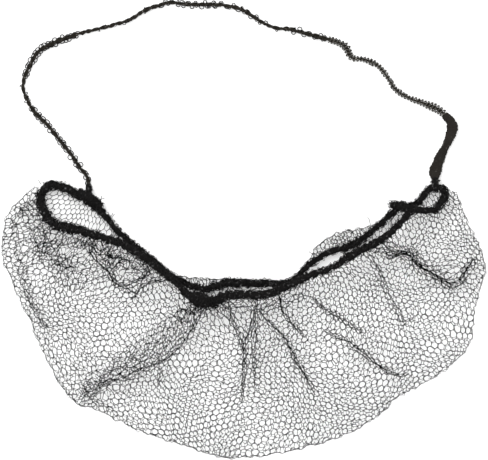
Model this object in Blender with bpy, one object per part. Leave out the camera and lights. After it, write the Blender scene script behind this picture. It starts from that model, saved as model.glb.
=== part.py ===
# Beard net lying flat: a gathered pouch of net, a gathered elastic round its mouth, and a head elastic
# with a short knitted band. Metres, +Z up, the surface it lies on is z = 0. +X runs from the open loop
# of the mouth to its small ring, and +Y from the pouch to the head elastic.

import math

import bpy
import numpy as np
from mathutils import Vector
from mathutils.geometry import delaunay_2d_cdt

# Pouch sizes
POUCH_WIDTH = 0.2517
POUCH_DEPTH = 0.1446
NET_WALL = 0.001
EDGE_ROLL_RADIUS = 0.0014
MOUTH_RISE = 0.0098
CROWN_HEIGHT = 0.0026

# Lattice of the net
CELL_PITCH = 0.0203
STRAND_WIDTH = 0.0021
RIM_BAND = 0.0016
EDGE_BAND = 0.0014
SMALLEST_GAP = 0.0030
SHORTEST_NET = 0.0002
END_MARGIN_COLUMNS = 0.6
MERGE_DISTANCE = 1e-7

# Where the head elastic, the band and the loose end meet the far strand, as shares of the width
HEAD_START_ACROSS = 0.184
BAND_FOOT_ACROSS = 0.894
TAIL_ACROSS = 0.836

# Elastic round the mouth
RIM_THICKNESS = 0.0042
GATHER_COUNT = 42
GATHER_SHARE = 0.07
TAIL_THICKNESS = 0.0032
TAIL_LENGTH = 0.0085
TAIL_SINK = 0.0022
# How far aside of the far strand it starts and swings, as shares of the elastic's radius
TAIL_ASIDE = 0.2
TAIL_SWING = 0.3

# Head elastic and its band
CORD_THICKNESS = 0.0023
BAND_REACH = 0.0345
BAND_WIDTH = 0.0056
BAND_THICKNESS = 0.0018

# Clearance between two pieces that touch on the real thing
CLEARANCE = 0.0003

# How far from the elastic's middle a clear place beside it is looked for, in its thicknesses
REACH_LIMIT = 3

# How finely the shapes are cut
EDGE_STEPS = 60
RIM_STEPS = 120
CORD_STEPS = 70
TUBE_SIDE_STEPS = 2
LINE_STEPS = 1200
CLEAR_STEPS = 900
REACH_STEPS = 160

# One row for each section of the pouch, from the left end of the mouth to the right end. Each row
# gives a point on the far strand, the near strand and the outline, as shares of the pouch's width
# (across) and depth (up); the near strand's rise as a share of MOUTH_RISE; the bulge of the upper
# layer as a share of CROWN_HEIGHT; the reach of the lower layer past the far strand as a share of
# POUCH_DEPTH; and the thickness of both strands as shares of RIM_THICKNESS.
SECTION_COLUMNS = (
    "far_across", "far_up", "near_across", "near_up", "edge_across", "edge_up",
    "rise", "crown", "lip", "far_thick", "near_thick",
)
SECTION_ROWS = (
    (0.086, 0.961, 0.086, 0.961, 0.070, 0.976, 0.00, 0.0, 0.010, 1.02, 1.02),
    (0.095, 0.976, 0.082, 0.950, 0.056, 0.955, 0.02, 0.0, 0.010, 1.00, 1.08),
    (0.102, 0.982, 0.083, 0.938, 0.026, 0.908, 0.06, 0.1, 0.010, 0.92, 0.98),
    (0.115, 0.979, 0.081, 0.923, 0.004, 0.822, 0.12, 0.3, 0.010, 0.84, 1.00),
    (0.134, 0.970, 0.085, 0.900, 0.001, 0.741, 0.20, 0.5, 0.010, 0.88, 1.06),
    (0.157, 0.946, 0.094, 0.870, 0.021, 0.637, 0.32, 0.8, 0.010, 0.86, 1.15),
    (0.177, 0.931, 0.111, 0.840, 0.055, 0.507, 0.45, 1.0, 0.010, 0.92, 1.15),
    (0.216, 0.865, 0.161, 0.820, 0.120, 0.270, 0.72, 1.0, 0.010, 0.68, 1.12),
    (0.235, 0.824, 0.202, 0.797, 0.150, 0.204, 0.90, 1.0, 0.010, 0.62, 0.92),
    (0.261, 0.782, 0.248, 0.772, 0.204, 0.170, 1.00, 0.9, 0.010, 0.66, 0.90),
    (0.305, 0.722, 0.295, 0.719, 0.279, 0.103, 1.00, 0.8, 0.010, 0.66, 0.68),
    (0.355, 0.652, 0.354, 0.641, 0.372, 0.050, 1.00, 0.8, 0.010, 0.68, 0.70),
    (0.414, 0.609, 0.411, 0.561, 0.455, 0.005, 1.00, 0.8, 0.038, 0.74, 1.05),
    (0.467, 0.629, 0.475, 0.588, 0.535, 0.009, 1.00, 0.9, 0.014, 0.86, 1.08),
    (0.537, 0.628, 0.541, 0.590, 0.616, 0.036, 1.00, 1.0, 0.010, 0.86, 1.02),
    (0.600, 0.637, 0.598, 0.625, 0.715, 0.090, 1.00, 1.0, 0.010, 0.70, 0.70),
    (0.634, 0.694, 0.641, 0.662, 0.781, 0.160, 1.00, 1.0, 0.014, 0.62, 0.84),
    (0.675, 0.740, 0.682, 0.687, 0.820, 0.223, 1.00, 1.0, 0.046, 0.70, 0.74),
    (0.716, 0.760, 0.717, 0.727, 0.882, 0.281, 1.00, 1.0, 0.058, 0.70, 0.88),
    (0.787, 0.850, 0.796, 0.805, 0.969, 0.432, 1.00, 0.9, 0.010, 0.62, 0.86),
    (0.816, 0.895, 0.824, 0.852, 0.973, 0.511, 0.92, 0.8, 0.010, 0.66, 0.78),
    (0.844, 0.906, 0.845, 0.890, 0.988, 0.619, 0.76, 0.6, 0.010, 0.74, 0.80),
    (0.863, 0.926, 0.864, 0.892, 0.998, 0.705, 0.55, 0.4, 0.010, 0.68, 0.84),
    (0.876, 0.957, 0.884, 0.887, 0.983, 0.770, 0.35, 0.3, 0.010, 0.70, 0.78),
    (0.890, 0.973, 0.899, 0.903, 0.963, 0.835, 0.19, 0.1, 0.010, 0.80, 0.96),
    (0.903, 0.972, 0.909, 0.923, 0.950, 0.903, 0.08, 0.0, 0.010, 0.84, 1.05),
    (0.910, 0.967, 0.915, 0.942, 0.941, 0.934, 0.02, 0.0, 0.010, 0.90, 1.05),
    (0.913, 0.959, 0.913, 0.959, 0.930, 0.962, 0.00, 0.0, 0.010, 1.00, 1.00),
)

# One row for each main fold of the upper layer: its two ends as shares of the pouch's width and
# depth, its half width as a share of POUCH_DEPTH, its height as a share of CROWN_HEIGHT, and the
# share by which the net beside it is drawn in towards it.
FOLD_COLUMNS = ("start_across", "start_up", "end_across", "end_up", "half_width", "height", "draw")
FOLD_ROWS = (
    (0.415, 0.547, 0.339, 0.360, 0.050, 1.0, 0.28),
    (0.339, 0.360, 0.174, 0.230, 0.050, 1.0, 0.28),
    (0.180, 0.752, 0.240, 0.622, 0.045, 0.9, 0.22),
    (0.240, 0.622, 0.326, 0.640, 0.040, 0.8, 0.22),
    (0.479, 0.510, 0.500, 0.403, 0.040, 0.9, 0.22),
    (0.500, 0.403, 0.478, 0.165, 0.045, 0.8, 0.20),
    (0.529, 0.550, 0.616, 0.335, 0.050, 1.0, 0.25),
    (0.616, 0.335, 0.692, 0.144, 0.045, 0.8, 0.20),
    (0.643, 0.581, 0.798, 0.410, 0.050, 1.0, 0.25),
    (0.616, 0.597, 0.744, 0.367, 0.045, 0.9, 0.22),
    (0.744, 0.367, 0.847, 0.309, 0.045, 0.8, 0.20),
    (0.773, 0.626, 0.822, 0.475, 0.045, 1.0, 0.25),
    (0.841, 0.730, 0.925, 0.622, 0.040, 0.9, 0.20),
)

# Route of the head elastic across the surface, from the left of the rim to the band, point by point
# as it is seen to lie. Its two ends are worked out from the rim and the band.
HEAD_ROUTE = (
    (-0.0811, 0.0728), (-0.0858, 0.0796), (-0.0905, 0.0863), (-0.0962, 0.0936),
    (-0.1017, 0.1004), (-0.1082, 0.1069), (-0.1128, 0.1141), (-0.1149, 0.1206),
    (-0.1139, 0.1261), (-0.1110, 0.1326), (-0.1071, 0.1388), (-0.1004, 0.1427),
    (-0.0926, 0.1461), (-0.0844, 0.1487), (-0.0764, 0.1508), (-0.0671, 0.1531),
    (-0.0593, 0.1557), (-0.0520, 0.1602), (-0.0445, 0.1630), (-0.0374, 0.1646),
    (-0.0317, 0.1638), (-0.0244, 0.1635), (-0.0161, 0.1635), (-0.0094, 0.1628),
    (-0.0021, 0.1612), (0.0036, 0.1581), (0.0091, 0.1544), (0.0166, 0.1513),
    (0.0234, 0.1508), (0.0322, 0.1484), (0.0414, 0.1460), (0.0484, 0.1440),
    (0.0530, 0.1414), (0.0556, 0.1362), (0.0627, 0.1349), (0.0697, 0.1316),
    (0.0749, 0.1253), (0.0790, 0.1191), (0.0848, 0.1154), (0.0931, 0.1123),
)

# One row for each section of the band, from its foot on the ring to the head elastic: its place as
# shares of BAND_REACH, its width and thickness as shares of BAND_WIDTH and BAND_THICKNESS, and the
# turn of its flat side from lying, in degrees.
BAND_COLUMNS = ("right", "up", "width", "thick", "turn")
BAND_ROWS = (
    (0.000, 0.000, 0.62, 1.35, 0),
    (0.000, 0.060, 0.64, 1.25, 0),
    (0.000, 0.150, 1.04, 1.00, 0),
    (0.035, 0.270, 1.00, 1.00, -14),
    (0.085, 0.400, 0.90, 1.00, -24),
    (0.165, 0.560, 0.66, 1.20, -12),
    (0.235, 0.720, 0.90, 1.00, 10),
    (0.262, 0.830, 0.96, 1.00, 18),
    (0.235, 0.930, 0.84, 1.10, 10),
    (0.170, 1.000, 0.58, 1.30, 0),
)

# Thickness of the loose end from the rim to its free end, as shares of TAIL_THICKNESS
TAIL_THICK = (0.80, 0.95, 1.0, 1.0, 1.03, 1.05, 1.05, 1.0, 0.72)

# Cross-section of the band, as shares of its width and thickness
BAND_PROFILE = (
    (-0.5, -0.25), (-0.38, -0.5), (0.38, -0.5), (0.5, -0.25),
    (0.5, 0.25), (0.38, 0.5), (-0.38, 0.5), (-0.5, 0.25),
)

# Colours, each with the roughness of its yarn
NET_COLOUR = (0.012, 0.012, 0.013)
ELASTIC_COLOUR = (0.016, 0.015, 0.015)
BAND_COLOUR = (0.024, 0.021, 0.018)
YARN_ROUGHNESS = 0.75


def clear_scene():
    for old in list(bpy.data.objects):
        bpy.data.objects.remove(old, do_unlink=True)


def yarn_material(name, colour):
    material = bpy.data.materials.new(name)
    material.use_nodes = True
    shader = material.node_tree.nodes["Principled BSDF"]
    shader.inputs["Base Color"].default_value = (*colour, 1.0)
    shader.inputs["Roughness"].default_value = YARN_ROUGHNESS
    shader.inputs["Metallic"].default_value = 0.0
    return material


def add_object(name, data, material):
    data.materials.append(material)
    piece = bpy.data.objects.new(name, data)
    bpy.context.scene.collection.objects.link(piece)
    return piece


def hermite(knots, values, at):
    """Smooth curve through values at knots: a cubic between two rows, its slopes from their neighbours."""
    slopes = np.gradient(values, knots, axis=0)
    row = np.clip(np.searchsorted(knots, at, side="right") - 1, 0, len(knots) - 2)
    span = knots[row + 1] - knots[row]
    share = (at - knots[row]) / span
    if values.ndim > 1:
        share = share[:, None]
        span = span[:, None]
    near = (1 + 2 * share) * (1 - share) ** 2 * values[row]
    near_slope = share * (1 - share) ** 2 * span * slopes[row]
    far = share**2 * (3 - 2 * share) * values[row + 1]
    far_slope = share**2 * (share - 1) * span * slopes[row + 1]
    return near + near_slope + far + far_slope


def unit(vectors):
    return vectors / np.linalg.norm(vectors, axis=-1, keepdims=True)


SECTIONS = {name: np.array(column) for name, column in zip(SECTION_COLUMNS, zip(*SECTION_ROWS))}
FOLDS = [dict(zip(FOLD_COLUMNS, row)) for row in FOLD_ROWS]

RIM_RADIUS = RIM_THICKNESS / 2
RIM_CLEAR_RADIUS = RIM_RADIUS * (1 + GATHER_SHARE)
RIM_REST_HEIGHT = NET_WALL + CLEARANCE + RIM_CLEAR_RADIUS * SECTIONS["far_thick"].max()


def plan_points(across, up):
    """Shares of the pouch's width and depth as places on the surface, with its middle at the origin."""
    return np.stack([(across - 0.5) * POUCH_WIDTH, (up - 0.5) * POUCH_DEPTH], axis=-1)


FAR_POINTS = plan_points(SECTIONS["far_across"], SECTIONS["far_up"])
NEAR_POINTS = plan_points(SECTIONS["near_across"], SECTIONS["near_up"])
EDGE_POINTS = plan_points(SECTIONS["edge_across"], SECTIONS["edge_up"])


def section_knots():
    """Distance of each section along the pouch, halfway between the outline and the near strand."""
    middle = (NEAR_POINTS + EDGE_POINTS) / 2
    steps = np.linalg.norm(np.diff(middle, axis=0), axis=1)
    return np.concatenate([[0.0], np.cumsum(steps)])


KNOTS = section_knots()
POUCH_LENGTH = KNOTS[-1]


def far_strand(along):
    """Middle of the far strand, which rests on the lower layer."""
    place = hermite(KNOTS, FAR_POINTS, along)
    return np.column_stack([place, np.full(len(along), RIM_REST_HEIGHT)])


def near_strand(along):
    """Middle of the near strand, raised so that the mouth stands open."""
    place = hermite(KNOTS, NEAR_POINTS, along)
    rise = np.clip(hermite(KNOTS, SECTIONS["rise"], along), 0.0, 1.0)
    return np.column_stack([place, RIM_REST_HEIGHT + rise * MOUTH_RISE])


def far_strand_at(across):
    """Middle and thickness share of the far strand at a share of the pouch's width."""
    along = np.linspace(0.0, POUCH_LENGTH, LINE_STEPS)
    line = far_strand(along)
    nearest = np.argmin(np.abs(line[:, 0] - (across - 0.5) * POUCH_WIDTH))
    return line[nearest], np.interp(along[nearest], KNOTS, SECTIONS["far_thick"])


def rim_loop(steps):
    """Closed middle line of the elastic, out along the far strand and back along the near strand."""
    dense = np.linspace(0.0, POUCH_LENGTH, LINE_STEPS)
    loop = np.vstack([far_strand(dense), near_strand(dense[::-1])[1:-1]])
    far_thick = np.interp(dense, KNOTS, SECTIONS["far_thick"])
    near_thick = np.interp(dense[::-1], KNOTS, SECTIONS["near_thick"])
    thickness = np.concatenate([far_thick, near_thick[1:-1]])
    lengths = np.linalg.norm(np.roll(loop, -1, axis=0) - loop, axis=1)
    travelled = np.concatenate([[0.0], np.cumsum(lengths)])
    wanted = np.linspace(0.0, travelled[-1], steps, endpoint=False)
    closed = np.vstack([loop, loop[:1]])
    closed_thickness = np.append(thickness, thickness[0])
    points = np.column_stack([np.interp(wanted, travelled, closed[:, axis]) for axis in range(3)])
    return points, np.interp(wanted, travelled, closed_thickness), wanted / travelled[-1]


RIM_LINE, RIM_LINE_THICK, _ = rim_loop(CLEAR_STEPS)


def distance_to_rim(points):
    """Room between each point and the elastic's surface, in space."""
    apart = np.linalg.norm(points[:, None, :] - RIM_LINE[None, :, :], axis=2)
    return (apart - RIM_CLEAR_RADIUS * RIM_LINE_THICK[None, :]).min(axis=1)


def leave_rim(middle, aim, half_width):
    """First place out from the elastic's middle along aim where an end this wide stands clear of it."""
    tries = middle + np.linspace(0.0, REACH_LIMIT * RIM_THICKNESS, REACH_STEPS)[:, None] * np.append(aim, 0.0)
    aside = half_width * np.array([aim[1], -aim[0], 0.0])
    room = np.minimum(distance_to_rim(tries - aside), distance_to_rim(tries + aside))
    room = np.minimum(room, distance_to_rim(tries))
    return tries[np.nonzero(room < CLEARANCE)[0][-1] + 1]


def upper_reach(along):
    """Level distance from the outline to where the upper layer stops beside the near strand."""
    edge = hermite(KNOTS, EDGE_POINTS, along)
    near = near_strand(along)
    full = np.linalg.norm(near[:, :2] - edge, axis=1)
    reach = np.zeros(len(along))
    for index, length in enumerate(full):
        tries = np.linspace(0.0, 1.0, REACH_STEPS)
        level = edge[index] + (near[index, :2] - edge[index]) * tries[:, None]
        height = np.full(len(tries), near[index, 2])
        room = distance_to_rim(np.column_stack([level, height]))
        blocked = np.nonzero(room < CLEARANCE)[0]
        reach[index] = tries[max(blocked[0] - 1, 1)] * length if len(blocked) else length
    return reach


GRID_ALONG = np.linspace(0.0, POUCH_LENGTH, EDGE_STEPS + 1)
UPPER_REACH = upper_reach(GRID_ALONG)
ROLL_ARC = EDGE_ROLL_RADIUS * math.pi / 2
EDGE_HEIGHT = NET_WALL / 2 + EDGE_ROLL_RADIUS


def lower_reach(along):
    """Level distance from the outline to the end of the lower layer, under and past the far strand."""
    edge = hermite(KNOTS, EDGE_POINTS, along)
    far = hermite(KNOTS, FAR_POINTS, along)
    lip = hermite(KNOTS, SECTIONS["lip"], along) * POUCH_DEPTH
    return np.linalg.norm(far - edge, axis=1) + lip


def arc_limit(along, layer):
    """Length of net from the outline to the rim, over the rolled edge, on either layer."""
    level = np.interp(along, GRID_ALONG, UPPER_REACH if layer == "upper" else LOWER_REACH)
    return ROLL_ARC + np.maximum(level - EDGE_ROLL_RADIUS, SHORTEST_NET)


LOWER_REACH = lower_reach(GRID_ALONG)


def fold_effect(plan):
    """Height that the folds add at each place, and how far they draw the net in towards them."""
    height = np.zeros(len(plan))
    drawn = np.zeros_like(plan)
    for fold in FOLDS:
        start = plan_points(np.array(fold["start_across"]), np.array(fold["start_up"]))
        end = plan_points(np.array(fold["end_across"]), np.array(fold["end_up"]))
        line = end - start
        share = np.clip((plan - start) @ line / (line @ line), 0.0, 1.0)
        offset = start + share[:, None] * line - plan
        half = fold["half_width"] * POUCH_DEPTH
        near = np.exp(-np.sum(offset**2, axis=1) / half**2)
        height += near * fold["height"] * CROWN_HEIGHT
        drawn += offset * (near * fold["draw"])[:, None]
    return height, drawn


def net_points(along, out):
    """
    Middle of the net. along runs from the left end of the mouth to the right, and out is the length
    of net from the outline, positive on the upper layer and negative on the lower. The first quarter
    turn follows the rolled edge; past it the lower layer lies flat, and the upper layer rises to the
    near strand as a quarter sine with a bulge and the folds on top.
    """
    edge = hermite(KNOTS, EDGE_POINTS, along)
    upper = out >= 0
    target = np.where(
        upper[:, None], hermite(KNOTS, NEAR_POINTS, along), hermite(KNOTS, FAR_POINTS, along)
    )
    turn = np.minimum(np.abs(out), ROLL_ARC) / EDGE_ROLL_RADIUS
    past = np.maximum(np.abs(out) - ROLL_ARC, 0.0)
    level = EDGE_ROLL_RADIUS * (1 - np.cos(turn)) + past
    plan = edge + unit(target - edge) * level[:, None]
    side = np.where(upper, 1.0, -1.0)
    height = EDGE_HEIGHT + side * EDGE_ROLL_RADIUS * np.sin(turn)

    full = np.interp(along, GRID_ALONG, UPPER_REACH) - EDGE_ROLL_RADIUS
    share = np.where(upper, np.clip(past / np.maximum(full, SHORTEST_NET), 0.0, 1.0), 0.0)
    rise = near_strand(along)[:, 2] - EDGE_HEIGHT - EDGE_ROLL_RADIUS
    crown = hermite(KNOTS, SECTIONS["crown"], along) * CROWN_HEIGHT
    height = height + rise * np.sin(share * math.pi / 2) + crown * np.sin(share * math.pi)

    fold_height, drawn = fold_effect(plan)
    calm = np.where(upper, np.sin(np.clip(share, 0.0, 1.0) * math.pi), 0.0)
    height = height + fold_height * calm
    plan = plan + drawn * calm[:, None]
    return np.column_stack([plan, height])


def gap_outline(middle_along, middle_out, width, length, layer):
    """Twelve points round one hexagonal gap, cut short where it would reach the band along the rim."""
    corners = []
    for corner in range(6):
        turn = math.radians(60 * corner + 30)
        corners.append((math.cos(turn) / math.cos(math.radians(30)), math.sin(turn)))
    points = []
    for corner in range(6):
        here = corners[corner]
        following = corners[(corner + 1) % 6]
        points.append(here)
        points.append(((here[0] + following[0]) / 2, (here[1] + following[1]) / 2))
    outline = []
    for across, up in points:
        along = middle_along + across * width / 2
        limit = float(arc_limit(np.array([along]), layer)[0]) - RIM_BAND
        out = min(middle_out + up * length / 2, limit)
        outline.append((along, out))
    return outline


def net_gaps():
    """The gaps of both layers, in rows that follow the outline, every second row half a cell aside."""
    columns = round(POUCH_LENGTH / CELL_PITCH)
    step = POUCH_LENGTH / columns
    margin = step * END_MARGIN_COLUMNS
    row_step = CELL_PITCH * math.cos(math.radians(30))
    cell_length = CELL_PITCH / math.cos(math.radians(30))
    gaps = []
    for layer in ("upper", "lower"):
        side = 1 if layer == "upper" else -1
        rows = int(POUCH_DEPTH / row_step) + 1
        for row in range(rows):
            out = ROLL_ARC + EDGE_BAND + cell_length / 2 - STRAND_WIDTH / 2 + row * row_step
            shift = 0.5 * ((row + (layer == "lower")) % 2)
            for column in range(columns + 1):
                along = (column + shift) * step
                if not margin < along < POUCH_LENGTH - margin:
                    continue
                limits = arc_limit(along + step * np.array([-0.5, 0.0, 0.5]), layer) - RIM_BAND
                here = net_points(
                    np.array([along - step / 2, along + step / 2]), side * np.array([out, out])
                )
                stretch = np.linalg.norm(here[1] - here[0]) / step
                width = step - STRAND_WIDTH / stretch
                length = cell_length - STRAND_WIDTH
                shoulder = out - length / 4
                if limits.min() < shoulder or limits[1] - shoulder < SMALLEST_GAP:
                    continue
                outline = gap_outline(along, out, width, length, layer)
                gaps.append([(x, side * y) for x, y in outline])
    return gaps


def inside_gap(points, gap):
    corners = np.array(gap)
    following = np.roll(corners, -1, axis=0)
    edge = following - corners
    to_point = points[:, None, :] - corners[None, :, :]
    cross = edge[None, :, 0] * to_point[:, :, 1] - edge[None, :, 1] * to_point[:, :, 0]
    return np.all(cross > 0, axis=1) | np.all(cross < 0, axis=1)


def net_pouch():
    """The sack of net: a flat pattern with its gaps cut out, laid over the two layers and given its wall."""
    lines = [
        arc_limit(GRID_ALONG, "upper"),
        np.full(len(GRID_ALONG), ROLL_ARC),
        np.full(len(GRID_ALONG), ROLL_ARC / 2),
        np.zeros(len(GRID_ALONG)),
        np.full(len(GRID_ALONG), -ROLL_ARC / 2),
        np.full(len(GRID_ALONG), -ROLL_ARC),
        -arc_limit(GRID_ALONG, "lower"),
    ]
    points = []
    edges = []
    for line in lines:
        first = len(points)
        points += [Vector((x, y)) for x, y in zip(GRID_ALONG, line)]
        edges += [(first + step, first + step + 1) for step in range(len(GRID_ALONG) - 1)]
    count = len(GRID_ALONG)
    for row in range(len(lines) - 1):
        edges.append((row * count, (row + 1) * count))
        edges.append((row * count + count - 1, (row + 2) * count - 1))
    gaps = net_gaps()
    for gap in gaps:
        first = len(points)
        points += [Vector(corner) for corner in gap]
        edges += [(first + step, first + (step + 1) % len(gap)) for step in range(len(gap))]

    flat, _, faces, _, _, _ = delaunay_2d_cdt(points, edges, [], 0, MERGE_DISTANCE)
    flat = np.array([(point.x, point.y) for point in flat])
    faces = np.array([face for face in faces])
    middle = flat[faces].mean(axis=1)
    top = np.interp(middle[:, 0], GRID_ALONG, lines[0])
    bottom = np.interp(middle[:, 0], GRID_ALONG, lines[-1])
    kept = (middle[:, 1] < top) & (middle[:, 1] > bottom)
    for gap in gaps:
        kept &= ~inside_gap(middle, gap)
    faces = faces[kept]
    used, faces = np.unique(faces, return_inverse=True)
    faces = faces.reshape(-1, 3)
    flat = flat[used]

    mesh = bpy.data.meshes.new("net_pouch")
    mesh.from_pydata(net_points(flat[:, 0], flat[:, 1]).tolist(), [], faces.tolist())
    mesh.shade_smooth()
    piece = add_object("net_pouch", mesh, yarn_material("black_net", NET_COLOUR))
    wall = piece.modifiers.new("wall", "SOLIDIFY")
    wall.thickness = NET_WALL
    wall.offset = 0.0
    print("net_pouch gaps:", len(gaps), "faces:", len(faces))
    return piece


def tube(name, points, radii, closed, thickness, material):
    """Round tube along a line of points, its radius a share of half the thickness at each one."""
    curve = bpy.data.curves.new(name, "CURVE")
    curve.dimensions = "3D"
    spline = curve.splines.new("POLY")
    spline.points.add(len(points) - 1)
    for point, place, radius in zip(spline.points, points, radii):
        point.co = (*place, 1.0)
        point.radius = radius
    spline.use_cyclic_u = closed
    curve.bevel_depth = thickness / 2
    curve.bevel_resolution = TUBE_SIDE_STEPS
    curve.use_fill_caps = not closed
    return add_object(name, curve, material)


def rim_elastic():
    """Elastic round the mouth, its casing gathered into even lumps."""
    points, thick, share = rim_loop(RIM_STEPS)
    gathers = 1 + GATHER_SHARE * np.cos(2 * math.pi * GATHER_COUNT * share)
    return tube(
        "rim_elastic", points, thick * gathers, True, RIM_THICKNESS,
        yarn_material("gathered_elastic", ELASTIC_COLOUR),
    )


def elastic_tail():
    """Loose end of the elastic: it lies on the far strand beside the ring, its free end a little lower."""
    rest, thick = far_strand_at(TAIL_ACROSS)
    top = RIM_REST_HEIGHT + RIM_CLEAR_RADIUS * thick + CLEARANCE + TAIL_THICKNESS / 2
    share = np.linspace(0.0, 1.0, len(TAIL_THICK))
    points = np.column_stack([
        rest[0] - share * TAIL_LENGTH,
        rest[1] + RIM_RADIUS * (TAIL_ASIDE + TAIL_SWING * np.sqrt(share)),
        top - TAIL_SINK * share**4,
    ])
    return tube(
        "elastic_tail", points, TAIL_THICK, False, TAIL_THICKNESS,
        yarn_material("elastic_end", ELASTIC_COLOUR),
    )


def band_path():
    """Sections of the band in space: it leaves the ring's side and comes down onto the surface."""
    ring, _ = far_strand_at(BAND_FOOT_ACROSS)
    rows = [dict(zip(BAND_COLUMNS, row)) for row in BAND_ROWS]
    foot = leave_rim(ring, np.array([0.0, 1.0]), rows[0]["width"] * BAND_WIDTH / 2)
    sections = []
    for row in rows:
        width = row["width"] * BAND_WIDTH
        thickness = row["thick"] * BAND_THICKNESS
        turn = math.radians(row["turn"])
        lying = (width * abs(math.sin(turn)) + thickness * math.cos(turn)) / 2
        lift = max(0.0, 1 - row["up"] * BAND_REACH / (2 * RIM_THICKNESS))
        height = lying + (RIM_REST_HEIGHT - lying) * lift**2
        place = (foot[0] + row["right"] * BAND_REACH, foot[1] + row["up"] * BAND_REACH, height)
        sections.append((place, width, thickness, turn))
    return sections


def side_band():
    """Flat knitted band: an eight-sided flat section carried along its path, closed at both ends."""
    sections = band_path()
    places = np.array([section[0] for section in sections])
    heading = unit(np.gradient(places[:, :2], axis=0))
    vertices = []
    for (place, width, thickness, turn), ahead in zip(sections, heading):
        aside = np.array([ahead[1], -ahead[0], 0.0])
        flat = aside * math.cos(turn) + np.array([0.0, 0.0, math.sin(turn)])
        proud = np.array([0.0, 0.0, math.cos(turn)]) - aside * math.sin(turn)
        for across, up in BAND_PROFILE:
            vertices.append(tuple(np.array(place) + flat * across * width + proud * up * thickness))
    sides = len(BAND_PROFILE)
    faces = []
    for ring in range(len(sections) - 1):
        for side in range(sides):
            following = (side + 1) % sides
            low = ring * sides
            high = low + sides
            faces.append((low + side, high + side, high + following, low + following))
    faces.append(tuple(range(sides)))
    faces.append(tuple(reversed(range((len(sections) - 1) * sides, len(sections) * sides))))
    mesh = bpy.data.meshes.new("side_band")
    mesh.from_pydata(vertices, [], faces)
    mesh.shade_smooth()
    return add_object("side_band", mesh, yarn_material("knitted_band", BAND_COLOUR))


def head_elastic():
    """Cased elastic, on one smooth curve through its route, from the far strand to the band."""
    rim, _ = far_strand_at(HEAD_START_ACROSS)
    lying = CORD_THICKNESS / 2
    route = [(x, y, lying) for x, y in HEAD_ROUTE]
    aim = unit(np.array(route[0][:2]) - rim[:2])
    start = leave_rim(rim, aim, CORD_THICKNESS / 2)
    band_end = band_path()[-1]
    before = band_path()[-2]
    ahead = unit(np.array(band_end[0]) - np.array(before[0]))
    end = np.array(band_end[0]) + ahead * CLEARANCE
    leave = start[:2] + aim * RIM_THICKNESS
    route = [tuple(start), (*leave, (RIM_REST_HEIGHT + lying) / 2)] + route
    route.append(tuple(np.array([*(end + ahead * CORD_THICKNESS)[:2], lying])))
    route.append((end[0], end[1], max(end[2], lying)))
    route = np.array(route)
    steps = np.linalg.norm(np.diff(route, axis=0), axis=1)
    travelled = np.concatenate([[0.0], np.cumsum(steps)])
    points = hermite(travelled, route, np.linspace(0.0, travelled[-1], CORD_STEPS))
    points[:, 2] = np.maximum(points[:, 2], lying)
    length = np.linalg.norm(np.diff(points, axis=0), axis=1).sum()
    print("head_elastic length:", round(float(length), 4))
    return tube(
        "head_elastic", points, np.ones(len(points)), False, CORD_THICKNESS,
        yarn_material("cased_elastic", ELASTIC_COLOUR),
    )


def main():
    clear_scene()
    net_pouch()
    rim_elastic()
    elastic_tail()
    side_band()
    head_elastic()


main()
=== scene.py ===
import math

import bpy
import numpy as np
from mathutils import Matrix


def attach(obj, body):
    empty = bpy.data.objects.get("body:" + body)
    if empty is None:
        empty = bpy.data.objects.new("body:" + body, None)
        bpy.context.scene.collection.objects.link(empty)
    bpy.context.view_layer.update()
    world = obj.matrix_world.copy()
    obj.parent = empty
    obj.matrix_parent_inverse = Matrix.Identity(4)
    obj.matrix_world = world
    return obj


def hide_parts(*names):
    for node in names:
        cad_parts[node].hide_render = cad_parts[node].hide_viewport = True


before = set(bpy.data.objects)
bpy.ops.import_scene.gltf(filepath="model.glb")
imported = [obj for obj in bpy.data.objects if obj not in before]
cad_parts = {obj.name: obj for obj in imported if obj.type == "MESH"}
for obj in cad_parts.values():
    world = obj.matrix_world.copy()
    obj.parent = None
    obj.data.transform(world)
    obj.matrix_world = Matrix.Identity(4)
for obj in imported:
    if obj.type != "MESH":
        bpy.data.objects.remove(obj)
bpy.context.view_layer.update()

# Metres throughout, in the part's own frame: the net lies on z = 0, +Y is up in the picture.

camera = {"middle": (0.0, 0.0463), "height": 1.8, "viewWidth": 0.2538, "farthest": 10.0}


def addObject(name, data):
    thing = bpy.data.objects.new(name, data)
    bpy.context.scene.collection.objects.link(thing)
    return thing


def addCamera():
    data = bpy.data.cameras.new("camera")
    data.lens = data.sensor_width * camera["height"] / camera["viewWidth"]
    data.clip_end = camera["farthest"]
    eye = addObject("camera", data)
    eye.location = (*camera["middle"], camera["height"])
    bpy.context.scene.camera = eye


# Lines and surfaces

def hermite(knots, values, at):
    # cubic between two rows, its slopes from the neighbouring rows
    slopes = np.gradient(values, knots, axis=0)
    row = np.clip(np.searchsorted(knots, at, side="right") - 1, 0, len(knots) - 2)
    span = knots[row + 1] - knots[row]
    share = (at - knots[row]) / span
    if values.ndim > 1:
        share = share[..., None]
        span = span[..., None]
    near = (1 + 2 * share) * (1 - share) ** 2 * values[row]
    nearSlope = share * (1 - share) ** 2 * span * slopes[row]
    far = share**2 * (3 - 2 * share) * values[row + 1]
    farSlope = share**2 * (share - 1) * span * slopes[row + 1]
    return near + nearSlope + far + farSlope


def unit(vectors):
    return vectors / np.maximum(np.linalg.norm(vectors, axis=-1, keepdims=True), 1e-12)


def nearness(apart, reach):
    # 1 at a place and less away from it, as a bell: exp(-(apart / reach) ^ 2)
    return np.exp(-(apart / reach) ** 2)


def rightOf(line):
    # direction to the right of each point of a line in plan
    heading = unit(np.gradient(line, axis=0))
    return np.column_stack([heading[:, 1], -heading[:, 0]])


def travelled(points):
    return np.concatenate([[0.0], np.cumsum(np.linalg.norm(np.diff(points, axis=0), axis=1))])


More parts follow.
